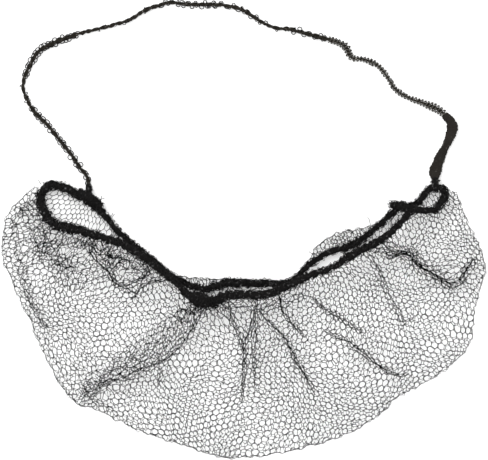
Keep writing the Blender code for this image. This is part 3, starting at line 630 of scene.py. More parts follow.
# Net: the sack lies flat in two layers of one hexagonal knit, turned against each other, so that the
# cells of the lower layer show through the upper. Rows of stitches zigzag, and short upright strands
# join each row to the next.
net = {
    "yarnRadius": 0.000138,
    "pillarRadius": 0.000125,
    "knotRadius": 0.00035,
    "knotLowest": 0.00002,
    # the lower layer is drawn out a little more, so its yarn is thinner
    "drawn": {"upper": 1.06, "lower": 0.99, "lip": 1.0, "tuck": 1.0},
    "lowerHeight": 0.0004,
    # turn of the rows in degrees, distance of the cells along a row, distance of the rows, the radius
    # that the layer bends to and its seed. It bends round a place above, or below where negative
    "layers": {
        "upper": (3.0, 0.00288, 0.00292, -0.40, 20),
        "lower": (82.0, 0.00306, 0.00262, 0.20, 40),
        "lip": (100.0, 0.0029, 0.0026, 0.20, 60),
        "tuck": (98.0, 0.0029, 0.0025, 0.17, 50),
    },
    # where the lattice's middle lies, the place that stays as a layer bends
    "bendMiddle": (0.004, -0.022),
    # rows and half cells of the flat lattice to each side of its middle
    "rowReach": 66,
    "halfReach": 120,
    # how far the strands bow aside, and points on each: zigzag and upright ones
    "zigzag": (0.00012, 4),
    "upright": (0.00006, 3),
    # least and most thickness of the strands and of the knots
    "strandSpread": (0.7, 1.35),
    "knotSpread": (0.7, 1.2),
    # the net lies doubled along each crease and gather, over this share of its half width
    "tucked": (0.80, 0.70),
    # slow and quick drift of the net in its plane: reach and wave length
    "slack": ((0.0024, 0.060), (0.0009, 0.021), (0.0003, 0.009)),
    "jitter": 0.00008,
    # slow waves of the lower layer's height, of the upper layer's height, and the crumple of a gather:
    # reach and wave length
    "lowWaves": (0.0003, 0.013),
    "highWaves": (0.0011, 0.017),
    "crumpleWave": 0.0055,
    "waveCount": 9,
    # ridge of a full crease, the most where creases meet, and how far doubled net lies above
    "ridge": (0.0018, 0.0022, 0.0005),
    # how hard a crease pulls close by and further off: share and how many half widths it reaches
    "creasePull": ((0.68, 1.3), (0.18, 3)),
    # the most that the pulls of creases add up to
    "pullLimit": 0.84,
    # the net creeps together just inside its outline: distance, reach and share
    "edgeBand": (0.0036, 0.0034, 0.30),
    # places along the outline where it does so more: share of the outline, reach and more
    "edgeMore": ((0.05, 0.04, 0.25), (0.16, 0.05, 0.2), (0.24, 0.04, 0.3), (0.33, 0.02, 0.4)),
    # the lower layer is spread in the open mouth: half width, share, and the line it is spread from
    "spread": (0.0120, -0.20, ((-0.0985, 0.0610), (-0.0850, 0.0560), (-0.0700, 0.0460))),
    # narrow places between the two strands where the lower layer has slipped aside: reach and line
    "bare": (
        (0.0030, ((0.0335, 0.0258), (0.0440, 0.0308), (0.0545, 0.0356))),
        (0.0016, ((-0.0215, 0.0154), (-0.0150, 0.0160))),
        (0.0016, ((0.0010, 0.0166), (0.0080, 0.0170))),
    ),
    # the upper layer creeps together along the near strand: reach and share
    "rimBand": (0.0060, 0.38),
    # wide gathers in both layers: half width, share, crumple, and the line they run along
    "gathers": (
        (0.0100, 0.46, 0.0011, ((-0.0780, 0.0420), (-0.0640, 0.0330), (-0.0520, 0.0260))),
        (0.0140, 0.36, 0.0012, ((-0.0200, 0.0090), (-0.0330, -0.0030), (-0.0450, -0.0150),
            (-0.0640, -0.0260), (-0.0800, -0.0360))),
        (0.0060, 0.35, 0.0008, ((-0.0330, 0.0040), (-0.0220, 0.0050), (-0.0120, 0.0040))),
        (0.0130, 0.20, 0.0006, ((-0.1040, 0.0330), (-0.0880, 0.0240), (-0.0720, 0.0250))),
        (0.0090, 0.42, 0.0010, ((-0.1140, 0.0560), (-0.1060, 0.0400), (-0.0950, 0.0300))),
        (0.0070, 0.30, 0.0010, ((0.0560, 0.0400), (0.0700, 0.0380), (0.0880, 0.0330))),
        (0.0040, 0.35, 0.0008, ((-0.1200, 0.0500), (-0.1165, 0.0300), (-0.1120, 0.0130),
            (-0.1030, -0.0040))),
        (0.0050, 0.50, 0.0008, ((-0.1080, 0.0600), (-0.1000, 0.0430), (-0.0860, 0.0400),
            (-0.0700, 0.0340))),
        (0.0070, 0.30, 0.0006, ((-0.0120, 0.0070), (0.0100, 0.0060), (0.0300, 0.0120))),
    ),
    # creases in the upper layer: half width, share, ridge, and the line they run along
    "folds": (
        (0.0040, 1.05, 0.9, ((-0.0806, 0.0364), (-0.0764, 0.0302), (-0.0707, 0.0260), (-0.0671, 0.0203),
            (-0.0655, 0.0177))),
        (0.0034, 1.00, 0.8, ((-0.0660, 0.0172), (-0.0588, 0.0192), (-0.0536, 0.0213), (-0.0494, 0.0239))),
        (0.0032, 0.95, 0.7, ((-0.0660, 0.0172), (-0.0593, 0.0151), (-0.0551, 0.0135), (-0.0525, 0.0161),
            (-0.0473, 0.0192), (-0.0411, 0.0200))),
        (0.0028, 0.90, 0.4, ((-0.0551, 0.0135), (-0.0577, 0.0099))),
        (0.0034, 0.74, 0.8, ((-0.0213, 0.0068), (-0.0265, -0.0047), (-0.0333, -0.0140),
            (-0.0406, -0.0203), (-0.0437, -0.0213), (-0.0598, -0.0291), (-0.0733, -0.0333),
            (-0.0829, -0.0395))),
        (0.0028, 0.60, 0.5, ((-0.0422, -0.0255), (-0.0432, -0.0300), (-0.0437, -0.0343))),
        (0.0030, 0.75, 0.6, ((-0.0083, 0.0099), (-0.0057, -0.0005), (-0.0031, -0.0083),
            (-0.0005, -0.0161))),
        (0.0032, 0.85, 0.8, ((0.0057, 0.0109), (0.0042, -0.0005), (0.0016, -0.0083), (-0.0005, -0.0161),
            (-0.0005, -0.0291), (-0.0016, -0.0421))),
        (0.0030, 0.60, 0.5, ((0.0080, 0.0036), (0.0062, -0.0083), (0.0058, -0.0213), (0.0062, -0.0343))),
        (0.0038, 1.00, 1.0, ((0.0073, 0.0057), (0.0109, 0.0005), (0.0161, -0.0047), (0.0203, -0.0094),
            (0.0239, -0.0146), (0.0265, -0.0213), (0.0307, -0.0276), (0.0359, -0.0359))),
        (0.0032, 1.00, 0.8, ((0.0348, 0.0114), (0.0395, 0.0073), (0.0473, 0.0021), (0.0551, -0.0031),
            (0.0614, -0.0062))),
        (0.0032, 0.85, 0.6, ((0.0421, -0.0057), (0.0525, -0.0109), (0.0603, -0.0161), (0.0697, -0.0239),
            (0.0811, -0.0296), (0.0853, -0.0276))),
        (0.0030, 0.65, 0.8, ((0.0640, 0.0333), (0.0697, 0.0244), (0.0718, 0.0177), (0.0744, 0.0125),
            (0.0796, 0.0021), (0.0811, -0.0026), (0.0874, 0.0005))),
        (0.0058, 1.25, 0.9, ((0.0733, 0.0333), (0.0853, 0.0343), (0.0879, 0.0296), (0.0941, 0.0255),
            (0.1009, 0.0218), (0.1071, 0.0182), (0.1120, 0.0205), (0.1160, 0.0270), (0.1195, 0.0305))),
        (0.0032, 0.95, 0.5, ((0.0187, 0.0130), (0.0203, 0.0047), (0.0260, -0.0026), (0.0312, -0.0083))),
    ),
}


def foldLine(plan, line):
    # nearest place on a line of points and how far along it that is, from 0 to 1
    line = np.array(line)
    length = travelled(line)
    best = np.full(len(plan), np.inf)
    offset = np.zeros_like(plan)
    at = np.zeros(len(plan))
    for first, last, begun in zip(line[:-1], line[1:], length):
        reach = last - first
        share = np.clip((plan - first) @ reach / (reach @ reach), 0.0, 1.0)
        toLine = first + share[:, None] * reach - plan
        apart = np.sum(toLine**2, axis=1)
        nearer = apart < best
        best = np.where(nearer, apart, best)
        offset = np.where(nearer[:, None], toLine, offset)
        at = np.where(nearer, (begun + share * np.linalg.norm(reach)) / length[-1], at)
    return np.sqrt(best), offset, at


def planWaves(plan, waveLength, seed):
    # smooth seeded drift of the net in its plane, about -1 to 1 in each direction
    dice = np.random.default_rng(seed)
    total = np.zeros_like(plan)
    for _ in range(net["waveCount"]):
        heading = dice.uniform(0, 2 * math.pi)
        stretch = dice.uniform(0.7, 1.5)
        across = plan @ np.array([math.cos(heading), math.sin(heading)])
        phase = across * 2 * math.pi / (waveLength * stretch)
        total += np.sin(phase + dice.uniform(0, 2 * math.pi))[:, None] * unit(dice.normal(size=2))
    return total / math.sqrt(net["waveCount"])


# Borders of the layers in plan: the wavy outline, the two strands, and the line past the far strand
# where the lower layer turns back
along = np.linspace(0.0, pouchLength, 420)
outlineEdge = hermite(knots, edgePoints, along)
outlineRipple = 0.0004 * waves(along / pouchLength, (23, 41, 67), 90)
outlineEdge = outlineEdge + rightOf(outlineEdge) * outlineRipple[:, None]
nearEdge = hermite(knots, nearPoints, along)
farEdge = hermite(knots, farPoints, along)
# the lip goes on under the elastic for most of its radius, and past it where a row says more than the least
lipLength = np.clip(hermite(knots, section["lip"], along) - section["lip"].min(), 0.0, 0.1) * pouch["depth"]
lipLength = lipLength + 0.85 * rimClearRadius * hermite(knots, section["farThick"], along)
lipLength = lipLength * (1 + 0.1 * waves(along / pouchLength, (31, 53), 91))
lipEdge = farEdge - rightOf(farEdge) * lipLength[:, None]
borders = {
    "upper": np.vstack([outlineEdge, nearEdge[::-1]]),
    "lower": np.vstack([outlineEdge, lipEdge[::-1]]),
    "lip": np.vstack([lipEdge, farEdge[::-1]]),
}


def depthInside(plan, border):
    # distance from a closed border, positive inside it, where an odd number of its sides lie to the right
    apart, _, _ = foldLine(plan, np.vstack([border, border[:1]]))
    inside = np.zeros(len(plan), bool)
    for first, last in zip(border, np.roll(border, -1, axis=0)):
        beside = (first[1] > plan[:, 1]) != (last[1] > plan[:, 1])
        rise = np.where(abs(last[1] - first[1]) < 1e-9, 1e-9, last[1] - first[1])
        inside ^= beside & (plan[:, 0] < first[0] + (plan[:, 1] - first[1]) * (last[0] - first[0]) / rise)
    return np.where(inside, apart, -apart)


def gathered(plan, layer):
    # the flat lattice pulled about: drift, gathers, creases and the crowded bands at both borders. Each
    # pull is the offset to a line * its share * a bell of the distance from it
    seed = net["layers"][layer][-1]
    for number, (reach, waveLength) in enumerate(net["slack"]):
        plan = plan + reach * planWaves(plan, waveLength, seed + number)
    pull = np.zeros_like(plan)
    for half, share, crumple, line in net["gathers"]:
        apart, offset, _ = foldLine(plan, line)
        crumpled = crumple * planWaves(plan, net["crumpleWave"], seed + 7)
        pull += nearness(apart, half)[:, None] * (share * offset + crumpled)
    if layer == "lower":
        half, share, line = net["spread"]
        apart, offset, _ = foldLine(plan, line)
        pull += share * offset * nearness(apart, half)[:, None]
    plan = plan + pull
    if layer in ("upper", "tuck"):
        pull = np.zeros_like(plan)
        total = np.zeros(len(plan))
        (close, closeReach), (wide, wideReach) = net["creasePull"]
        for half, share, _, line in net["folds"]:
            apart, offset, at = foldLine(plan, line)
            taper = np.clip(np.sin(math.pi * np.clip(at, 0.04, 0.96)) * 2.5, 0.0, 1.0)
            weight = taper * (close * share * nearness(apart, closeReach * half)
                              + wide * nearness(apart, wideReach * half))
            pull += offset * weight[:, None]
            total += weight
        plan = plan + pull / np.maximum(total / net["pullLimit"], 1.0)[:, None]
        reach, share = net["rimBand"]
        apart, offset, _ = foldLine(plan, nearEdge)
        plan = plan + offset * (share * nearness(apart, reach))[:, None]
    if layer != "lip":
        middle, reach, share = net["edgeBand"]
        apart, offset, at = foldLine(plan, outlineEdge)
        depth = np.sign(depthInside(plan, borders["lower"])) * apart
        share = share * (0.55 + 0.45 * waves(at, (5, 11, 19), 80 + seed))
        for place, spread, more in net["edgeMore"]:
            share = share + more * nearness(at - place, spread)
        inwards = -offset / np.maximum(apart, 1e-9)[:, None] * np.sign(depth)[:, None]
        far = depth - middle
        plan = plan - inwards * (np.clip(share, 0.0, 1.0) * far * nearness(far, reach))[:, None]
    return plan


def stripDepth(plan, table, share):
    # distance inside the strips along a table of lines. They narrow towards their ends
    depth = np.full(len(plan), -1.0)
    for half, _, _, line in table:
        apart, _, at = foldLine(plan, line)
        depth = np.maximum(depth, share * half * np.sin(math.pi * np.clip(at, 0.15, 0.85)) - apart)
    return depth


def tuckDepth(plan):
    # distance inside the doubled strips along the creases and gathers
    creased = stripDepth(plan, net["folds"], net["tucked"][0])
    depth = np.maximum(creased, stripDepth(plan, net["gathers"], net["tucked"][1]))
    return np.minimum(depth, depthInside(plan, borders["upper"]))


def bareHere(plan, layer):
    # true where the lower layer has slipped aside between the strands
    bare = np.zeros(len(plan), bool)
    for reach, line in net["bare"] if layer in ("lower", "lip") else ():
        bare |= foldLine(plan, line)[0] < reach
    return bare


def netHeight(plan, layer):
    # the outline is a rolled edge. From it the lower layer lies a little off the surface, and the upper
    # rises as a quarter sine to the near strand, with a bulge, slow waves and the ridges of its creases
    roll = pouch["edgeRoll"]
    middle = pouch["wall"] / 2 + roll
    fromEdge, _, _ = foldLine(plan, outlineEdge)
    turn = np.arccos(1 - np.clip(fromEdge / roll, 0.0, 1.0))
    reach, waveLength = net["lowWaves"]
    low = net["lowerHeight"] + reach * (1 + planWaves(plan, waveLength, 70)[:, 0])
    if layer == "lower":
        return middle - (middle - low) * np.sin(turn)
    if layer == "lip":
        toFar, _, _ = foldLine(plan, farEdge)
        toLip, _, _ = foldLine(plan, lipEdge)
        share = toLip / np.maximum(toFar + toLip, 1e-9)
        return low + (rimRest - net["lowerHeight"] - low) * np.sin(share * math.pi / 2)
    toRim, _, at = foldLine(plan, nearEdge)
    share = fromEdge / np.maximum(fromEdge + toRim, 1e-9)
    strandAt = np.interp(at, travelled(nearEdge) / travelled(nearEdge)[-1], along)
    rise = nearStrand(strandAt)[:, 2] - middle - roll
    crown = hermite(knots, section["crown"], at * pouchLength) * pouch["crown"]
    height = middle + roll * np.sin(turn) + rise * np.sin(share * math.pi / 2)
    height = height + crown * np.sin(share * math.pi)
    reach, waveLength = net["highWaves"]
    height = height + np.sin(share * math.pi) ** 0.7 * reach * planWaves(plan, waveLength, 60)[:, 0]
    ridge = np.zeros(len(plan))
    full, most, doubled = net["ridge"]
    for half, _, tall, line in net["folds"]:
        apart, _, _ = foldLine(plan, line)
        ridge += full * tall * nearness(apart, half)
    ridge = np.minimum(ridge, most) + (doubled if layer == "tuck" else 0.0)
    return height + ridge * np.clip(np.sin(share * math.pi) * 2, 0.0, 1.0)


def latticeParts(layer):
    # yarns, knots and cloth of one layer. A stitch at (row, half) lies on a zigzag of half a cell to
    # each side: place = turned (half * cell / 2, row * rowGap +- rowGap / 6)
    turn, cell, rowGap, bend, _ = net["layers"][layer]
    turn = math.radians(turn)
    halves = np.arange(-net["halfReach"], net["halfReach"] + 1)
    rows = np.arange(-net["rowReach"], net["rowReach"] + 1)
    row, half = np.meshgrid(rows, halves, indexing="ij")
    step = np.where((row + half) % 2 == 0, 1.0, -1.0)
    level = np.stack([half * cell / 2, (row + step / 6) * rowGap], axis=-1)
    dice = np.random.default_rng(round(1e5 * cell))
    level = (level + dice.normal(0, net["jitter"], level.shape)).reshape(-1, 2)
    across = level[:, 0] * math.cos(turn) - level[:, 1] * math.sin(turn)
    up = level[:, 0] * math.sin(turn) + level[:, 1] * math.cos(turn)
    # the layer bent: place = middle + (bend - up) * (sin(across / bend), -cos(across / bend))
    swing = across / bend
    plan = np.column_stack([np.sin(swing), -np.cos(swing)]) * (bend - up)[:, None]
    plan = gathered(plan + [0.0, bend] + net["bendMiddle"], layer)
    depth = tuckDepth(plan) if layer == "tuck" else depthInside(plan, borders[layer])
    index = np.arange(row.size).reshape(row.shape)
    zigzag = np.stack([index[:, :-1], index[:, 1:]], axis=-1).reshape(-1, 2)
    upright = np.stack([index[:-1], index[1:]], axis=-1)[step[:-1] > 0]
    parts = []
    for pairs, radius, (bow, points) in ((zigzag, net["yarnRadius"], net["zigzag"]),
                                         (upright, net["pillarRadius"], net["upright"])):
        ends, inner = plan[pairs], depth[pairs]
        kept = (inner > 0).any(axis=1) & ~bareHere(ends.mean(axis=1), layer)
        ends, inner = ends[kept], inner[kept]
        # an end outside the border is drawn back to it along its yarn
        for this, other in ((0, 1), (1, 0)):
            out = inner[:, this] <= 0
            reach = inner[out, other] / (inner[out, other] - inner[out, this])
            ends[out, this] = ends[out, other] + (ends[out, this] - ends[out, other]) * reach[:, None]
        share = np.linspace(0.0, 1.0, points)[None, :, None]
        aside = dice.normal(0, bow, (len(ends), 1, 2)) * np.sin(math.pi * share)
        path = ends[:, :1] + (ends[:, 1:] - ends[:, :1]) * share + aside
        height = netHeight(path.reshape(-1, 2), layer).reshape(path.shape[:2])
        thick = radius * net["drawn"][layer] * dice.uniform(*net["strandSpread"], (len(path), 1))
        parts.append((np.dstack([path, np.maximum(height, thick)]), thick))
    # the knots of the stitches are too small to see in the creases and the doubled strips
    whole = (depth > 0) & ~bareHere(plan, layer)
    seen = whole & (layer != "tuck")
    if layer == "upper":
        seen &= stripDepth(plan, net["folds"], 0.4) < 0
    stitches = np.column_stack([plan[seen], netHeight(plan[seen], layer)])
    # the cloth before it was pulled about: each stitch's place in it and now, and the area of one
    cloth = (level[whole], plan[whole, 0], cell / 2 * rowGap)
    return parts, stitches, cloth, dice


def beads(middle, dice):
    # a small knot on each stitch: an eight-sided bead
    shape = np.array([(1, 0, 0), (-1, 0, 0), (0, 1, 0), (0, -1, 0), (0, 0, 1), (0, 0, -1)], float)
    size = net["knotRadius"] * dice.uniform(*net["knotSpread"], len(middle))
    points = middle[:, None] + shape * size[:, None, None]
    points = laid(points, net["knotLowest"])
    faces = np.array([(0, 2, 4), (2, 1, 4), (1, 3, 4), (3, 0, 4), (2, 0, 5), (1, 2, 5), (3, 1, 5), (0, 3, 5)])
    faces = (np.arange(len(middle))[:, None, None] * 6 + faces).reshape(-1, 3)
    return points.reshape(-1, 3), [faces], np.zeros((points.shape[0] * 6, 3))


# Yarns along the creases: distance of their points, how far they lie aside as shares of the crease's
# half width, by chance and by slow waves, their fuzz, their height over the doubled net, how much
# thicker they are, and how many lie along a crease whose share is over a limit
creasing = {"step": 0.0014, "aside": (0.24, 0.20), "fuzz": 0.00014, "lift": 0.0002, "thick": 1.15,
            "counts": ((1.2, 5), (0.74, 2))}


def creaseYarns():
    # the edge of each crease: yarns that wander along it on the upper layer, more of them in a deep one
    paths = []
    byChance, byWaves = creasing["aside"]
    for number, (half, share, _, line) in enumerate(net["folds"]):
        line = np.array(line)
        length = travelled(line)
        at = np.linspace(0.0, length[-1], max(12, round(length[-1] / creasing["step"])))
        smooth = hermite(length, line, at)
        dice = np.random.default_rng(700 + number)
        count = next((yarns for limit, yarns in creasing["counts"] if share > limit), 1)
        for yarn in range(count):
            sway = waves(at / length[-1], (1, 2, 3, 5), 750 + 10 * number + yarn)
            away = half * (dice.normal(0, byChance) + byWaves * sway)
            away = away + dice.normal(0, creasing["fuzz"], len(at))
            path = smooth + rightOf(smooth) * away[:, None]
            path = path[depthInside(path, borders["upper"]) > 0]
            paths.append(np.column_stack([path, netHeight(path, "tuck") + creasing["lift"]]))
    return paths


# Yarns along a border: line, height, swing and seed, for the outline and for the lip
tying = {
    "upper": (outlineEdge, pouch["wall"] / 2 + pouch["edgeRoll"], 0.00040, 92),
    "lower": (lipEdge, 0.0012, 0.00030, 93),
    "step": 0.0011,
    "least": 0.0003,
    # how far they go on past the middle, so that the left and right pieces meet
    "overlap": 0.0006,
}


def borderYarns(line, height, swing, seed):
    # two yarns that zigzag along a border and tie the layers together
    length = travelled(line)
    at = np.arange(0.0, length[-1], tying["step"])
    path = np.column_stack([np.interp(at, length, line[:, axis]) for axis in range(2)])
    dice = np.random.default_rng(seed)
    yarns = []
    for _ in range(2):
        sway = dice.normal(0, swing, len(at))
        lift = height + dice.normal(0, swing, len(at))
        place = path - rightOf(path) * sway[:, None]
        yarns.append(np.column_stack([place, np.maximum(lift, tying["least"])]))
    return np.array(yarns)


def flatSize(cloths, side):
    # width and length of the flat cloth of one piece, and its area as stitches * area of a stitch
    level, across, _ = cloths[0]
    width, length = np.ptp(level[side * across >= 0], axis=0)
    area = sum(stitch * np.count_nonzero(side * across >= 0) for _, across, stitch in cloths)
    return float(width), float(length), float(area)


def buildNet():
    pieces, flats = [], []
    creases = creaseYarns()
    for layer, doubled, names in (("upper", "tuck", ("netUpperLeft", "netUpperRight")),
                                  ("lower", "lip", ("netLowerLeft", "netLowerRight"))):
        parts = [latticeParts(layer), latticeParts(doubled)]
        tied = borderYarns(*tying[layer])
        for name, side in zip(names, (-1, 1)):
            chosen = []
            for yarns, stitches, _, dice in parts:
                for paths, thick in yarns:
                    here = side * paths[:, 0, 0] >= 0
                    chosen.append(strands(paths[here], thick[here], sidesOf["yarn"]))
                if len(stitches):
                    chosen.append(beads(stitches[side * stitches[:, 0] >= 0], dice))
            for path in tied:
                here = side * path[:, 0] >= -tying["overlap"]
                chosen.append(strands(path[here][None], net["yarnRadius"], sidesOf["yarn"]))
            for path in creases if layer == "upper" else []:
                if side * path[len(path) // 2, 0] > 0:
                    thick = net["yarnRadius"] * creasing["thick"]
                    chosen.append(strands(path[None], thick, sidesOf["yarn"]))
            pieces.append(addMesh(name, chosen, netYarn))
            flats.append(flatSize([cloth for _, _, cloth, _ in parts], side))
            print("flat cloth of", name, [round(value, 4) for value in flats[-1]])
    return pieces, flats


# Elastic round the mouth: a dark core with gathered yarns wound over it and small loops of net
rim = {
    "steps": 1100,
    "core": 0.00116,
    "casing": 0.00180,
    "yarnRadius": 0.00026,
    "pitches": (
        0.0062, -0.0071, 0.0085, -0.0058, 0.0074, -0.0093, 0.0066, -0.0079, 0.0101, -0.0064, 0.0056,
        -0.0088, 0.0077, -0.0069, 0.0092,
    ),
    # the yarns lie at depths from this share of the casing's radius up to all of it
    "innermost": 0.72,
    "wobble": 0.24,
    "loops": 2400,
    "loopSize": 0.00125,
    "loopRadius": 0.00018,
    # places where it is thicker: the sewn lap, the knot of the seam, where the strands meet, the open
    # loop and the foot of the ring: place, reach and how much
    "wide": (
        ((-0.0790, 0.0630, 0.0038), 0.0080, 0.24),
        ((-0.0236, 0.0090, 0.0136), 0.0050, 0.32),
        ((-0.0130, 0.0160, 0.0038), 0.0100, 0.28),
        ((0.0545, 0.0350, 0.0136), 0.0065, 0.22),
        ((0.0585, 0.0400, 0.0038), 0.0080, 0.22),
        ((-0.0960, 0.0560, 0.0060), 0.0220, 0.20),
        ((0.0000, 0.0160, 0.0070), 0.0160, 0.14),
        ((0.0860, 0.0590, 0.0090), 0.0050, 0.25),
    ),
}
golden = 0.618  # turn from each yarn to the next, so that none start together


def buildRim():
    line, thick = rimLoop(rim["steps"])
    for place, reach, more in rim["wide"]:
        thick = thick + more * nearness(np.linalg.norm(line - place, axis=1), reach)
    share = np.arange(len(line)) / len(line)
    bump = thick * (1 + 0.05 * waves(share, (61, 97, 139), 8) + 0.05 * waves(share, (23, 37), 9))
    lumps = roughness(len(line), sidesOf["core"], 0.10, 3)
    core = strands(line[None], rim["core"] * bump, sidesOf["core"], True, relief=lumps)
    wound = []
    for number, pitch in enumerate(rim["pitches"]):
        depth = rim["innermost"] + (1 - rim["innermost"]) * ((number * 5) % 9) / 8
        radius = rim["casing"] * bump * depth
        wound.append(yarnRings(line, True, radius, [pitch], [number * golden], rim["wobble"], 100 + number))
    yarns = strands(np.concatenate(wound), rim["yarnRadius"], sidesOf["yarn"], True)
    body = addMesh("rimCasing", [core, yarns], rimYarn)
    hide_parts("rim_elastic")
    distance = rim["casing"] * 0.85 * thick
    loops = smallLoops(line, True, rim["loops"], distance, rim["loopSize"], rim["loopRadius"], 0.7, 200)
    addMesh("rimLoops", [loops], rimYarn)


# Sewn places: thread wound tightly round the seam knot, the lap and the two ends of the head elastic
seams = {
    "threadRadius": 0.00016,
    # size of the small loops on each wrap and how many
    "loops": (0.0009, 26),
    # radius of the loose ends, and how far they bend by chance
    "endYarn": (0.00017, 0.0006),
    # from, to, thickness, turns of each thread
    "wraps": (
        ((-0.0290, 0.0130, 0.0132), (-0.0172, 0.0098, 0.0132), 0.0027, 12),
        ((-0.0216, 0.0140, 0.0130), (-0.0228, 0.0090, 0.0134), 0.0026, 7),
        ((-0.0862, 0.0668, 0.0040), (-0.0735, 0.0585, 0.0040), 0.0026, 12),
        ((-0.0800, 0.0635, 0.0036), (-0.0812, 0.0700, 0.0026), 0.0014, 8),
        ((0.0990, 0.0668, 0.0040), (0.0992, 0.0735, 0.0036), 0.0018, 7),
        ((0.0850, 0.0575, 0.0100), (0.0800, 0.0590, 0.0098), 0.0026, 6),
    ),
    # short loose yarn ends: foot and tip
    "ends": (
        ((-0.0690, 0.0520, 0.0040), (-0.0668, 0.0548, 0.0050)),
        ((-0.0700, 0.0524, 0.0046), (-0.0682, 0.0552, 0.0038)),
        ((-0.0755, 0.0598, 0.0050), (-0.0738, 0.0640, 0.0050)),
        ((-0.0770, 0.0610, 0.0044), (-0.0722, 0.0628, 0.0060)),
        ((0.0375, 0.0335, 0.0040), (0.0338, 0.0352, 0.0030)),
        ((0.0388, 0.0330, 0.0046), (0.0350, 0.0318, 0.0044)),
        ((0.0655, 0.0490, 0.0040), (0.0640, 0.0528, 0.0034)),
        ((-0.1052, 0.0700, 0.0040), (-0.1068, 0.0725, 0.0030)),
    ),
}


def buildSeams():
    parts = []
    for number, (start, end, thickness, turns) in enumerate(seams["wraps"]):
        start, end = np.array(start), np.array(end)
        share = np.linspace(0.0, 1.0, 24 * turns)
        line = start + (end - start) * share[:, None]
        _, side, up = lineFrame(line)
        radius = thickness * (0.62 + 0.38 * np.sin(math.pi * share))
        radius = radius * (1 + 0.06 * waves(share, (3, 7, 13), 500 + number))
        coarse = slice(None, None, 6)
        lumps = roughness(len(line[coarse]), sidesOf["core"], 0.05, 510 + number)
        parts.append(strands(line[None, coarse], (radius * 0.9)[None, coarse], sidesOf["core"],
                             capped=True, relief=lumps))
        for thread in range(3):
            turn = 2 * math.pi * (turns * share * (1 if thread % 2 else -1) + thread / 3)
            reach = radius * (1 + 0.04 * waves(share, (5, 11, 19), 520 + 3 * number + thread))
            path = turned(line, side, up, reach, turn)
            parts.append(strands(path[None], seams["threadRadius"], sidesOf["yarn"]))
        size, count = seams["loops"]
        parts.append(smallLoops(line, False, count, radius * 0.9, size, rim["loopRadius"], 0.9, 540 + number))
    endRadius, sag = seams["endYarn"]
    for number, (foot, tip) in enumerate(seams["ends"]):
        foot, tip = np.array(foot), np.array(tip)
        share = np.linspace(0.0, 1.0, 9)[:, None]
        bent = np.random.default_rng(600 + number).normal(0, sag, 3) * np.sin(math.pi * share)
        path = foot + (tip - foot) * share + bent
        parts.append(strands(path[None], endRadius, sidesOf["rib"], capped=True))
    addMesh("seamThread", parts, rimYarn)


# Loose end of the elastic, beside the ring
tail = {
    "across": 0.836,
    "thickness": 0.0032,
    "length": 0.0085,
    "sink": 0.0022,
    # how far aside of the far strand it starts and swings, as shares of the elastic's radius
    "aside": 0.2,
    "swing": 0.3,
    "pitches": (0.006, -0.006, 0.007, -0.007, 0.005, -0.008, 0.009, -0.009),
    "wobble": 0.09,
    "loopSize": 0.00095,
    "loops": 110,
    "thick": (0.80, 0.95, 1.0, 1.0, 1.03, 1.05, 1.05, 1.0, 0.72),
}


def buildTail():
    rest, thick = farStrandAt(tail["across"])
    top = rimRest + rimClearRadius * thick + pouch["clearance"] + tail["thickness"] / 2
    share = np.linspace(0.0, 1.0, 120)
    line = np.column_stack([
        rest[0] - share * tail["length"],
        rest[1] + pouch["rimThickness"] / 2 * (tail["aside"] + tail["swing"] * np.sqrt(share)),
        top - tail["sink"] * share**4,
    ])
    size = np.interp(share, np.linspace(0, 1, len(tail["thick"])), tail["thick"]) * tail["thickness"] / 2
    # both ends round off
    size = size * np.sqrt(np.clip((1 - share) * 14, 0.05, 1.0)) * np.sqrt(np.clip(share * 14, 0.05, 1.0))
    lumps = roughness(len(line), sidesOf["core"], 0.08, 4)
    core = strands(line[None], size * 0.82, sidesOf["core"], capped=True, relief=lumps)
    phases = np.arange(len(tail["pitches"])) * golden
    wound = yarnRings(line, False, size * 0.95, tail["pitches"], phases, tail["wobble"], 300)
    loops = smallLoops(line, False, tail["loops"], size * 0.85, tail["loopSize"], rim["loopRadius"], 0.9, 301)
    yarns = strands(wound, rim["yarnRadius"], sidesOf["yarn"])
    piece = addMesh("tailCasing", [core, yarns, loops], rimYarn)
    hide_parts("elastic_tail")


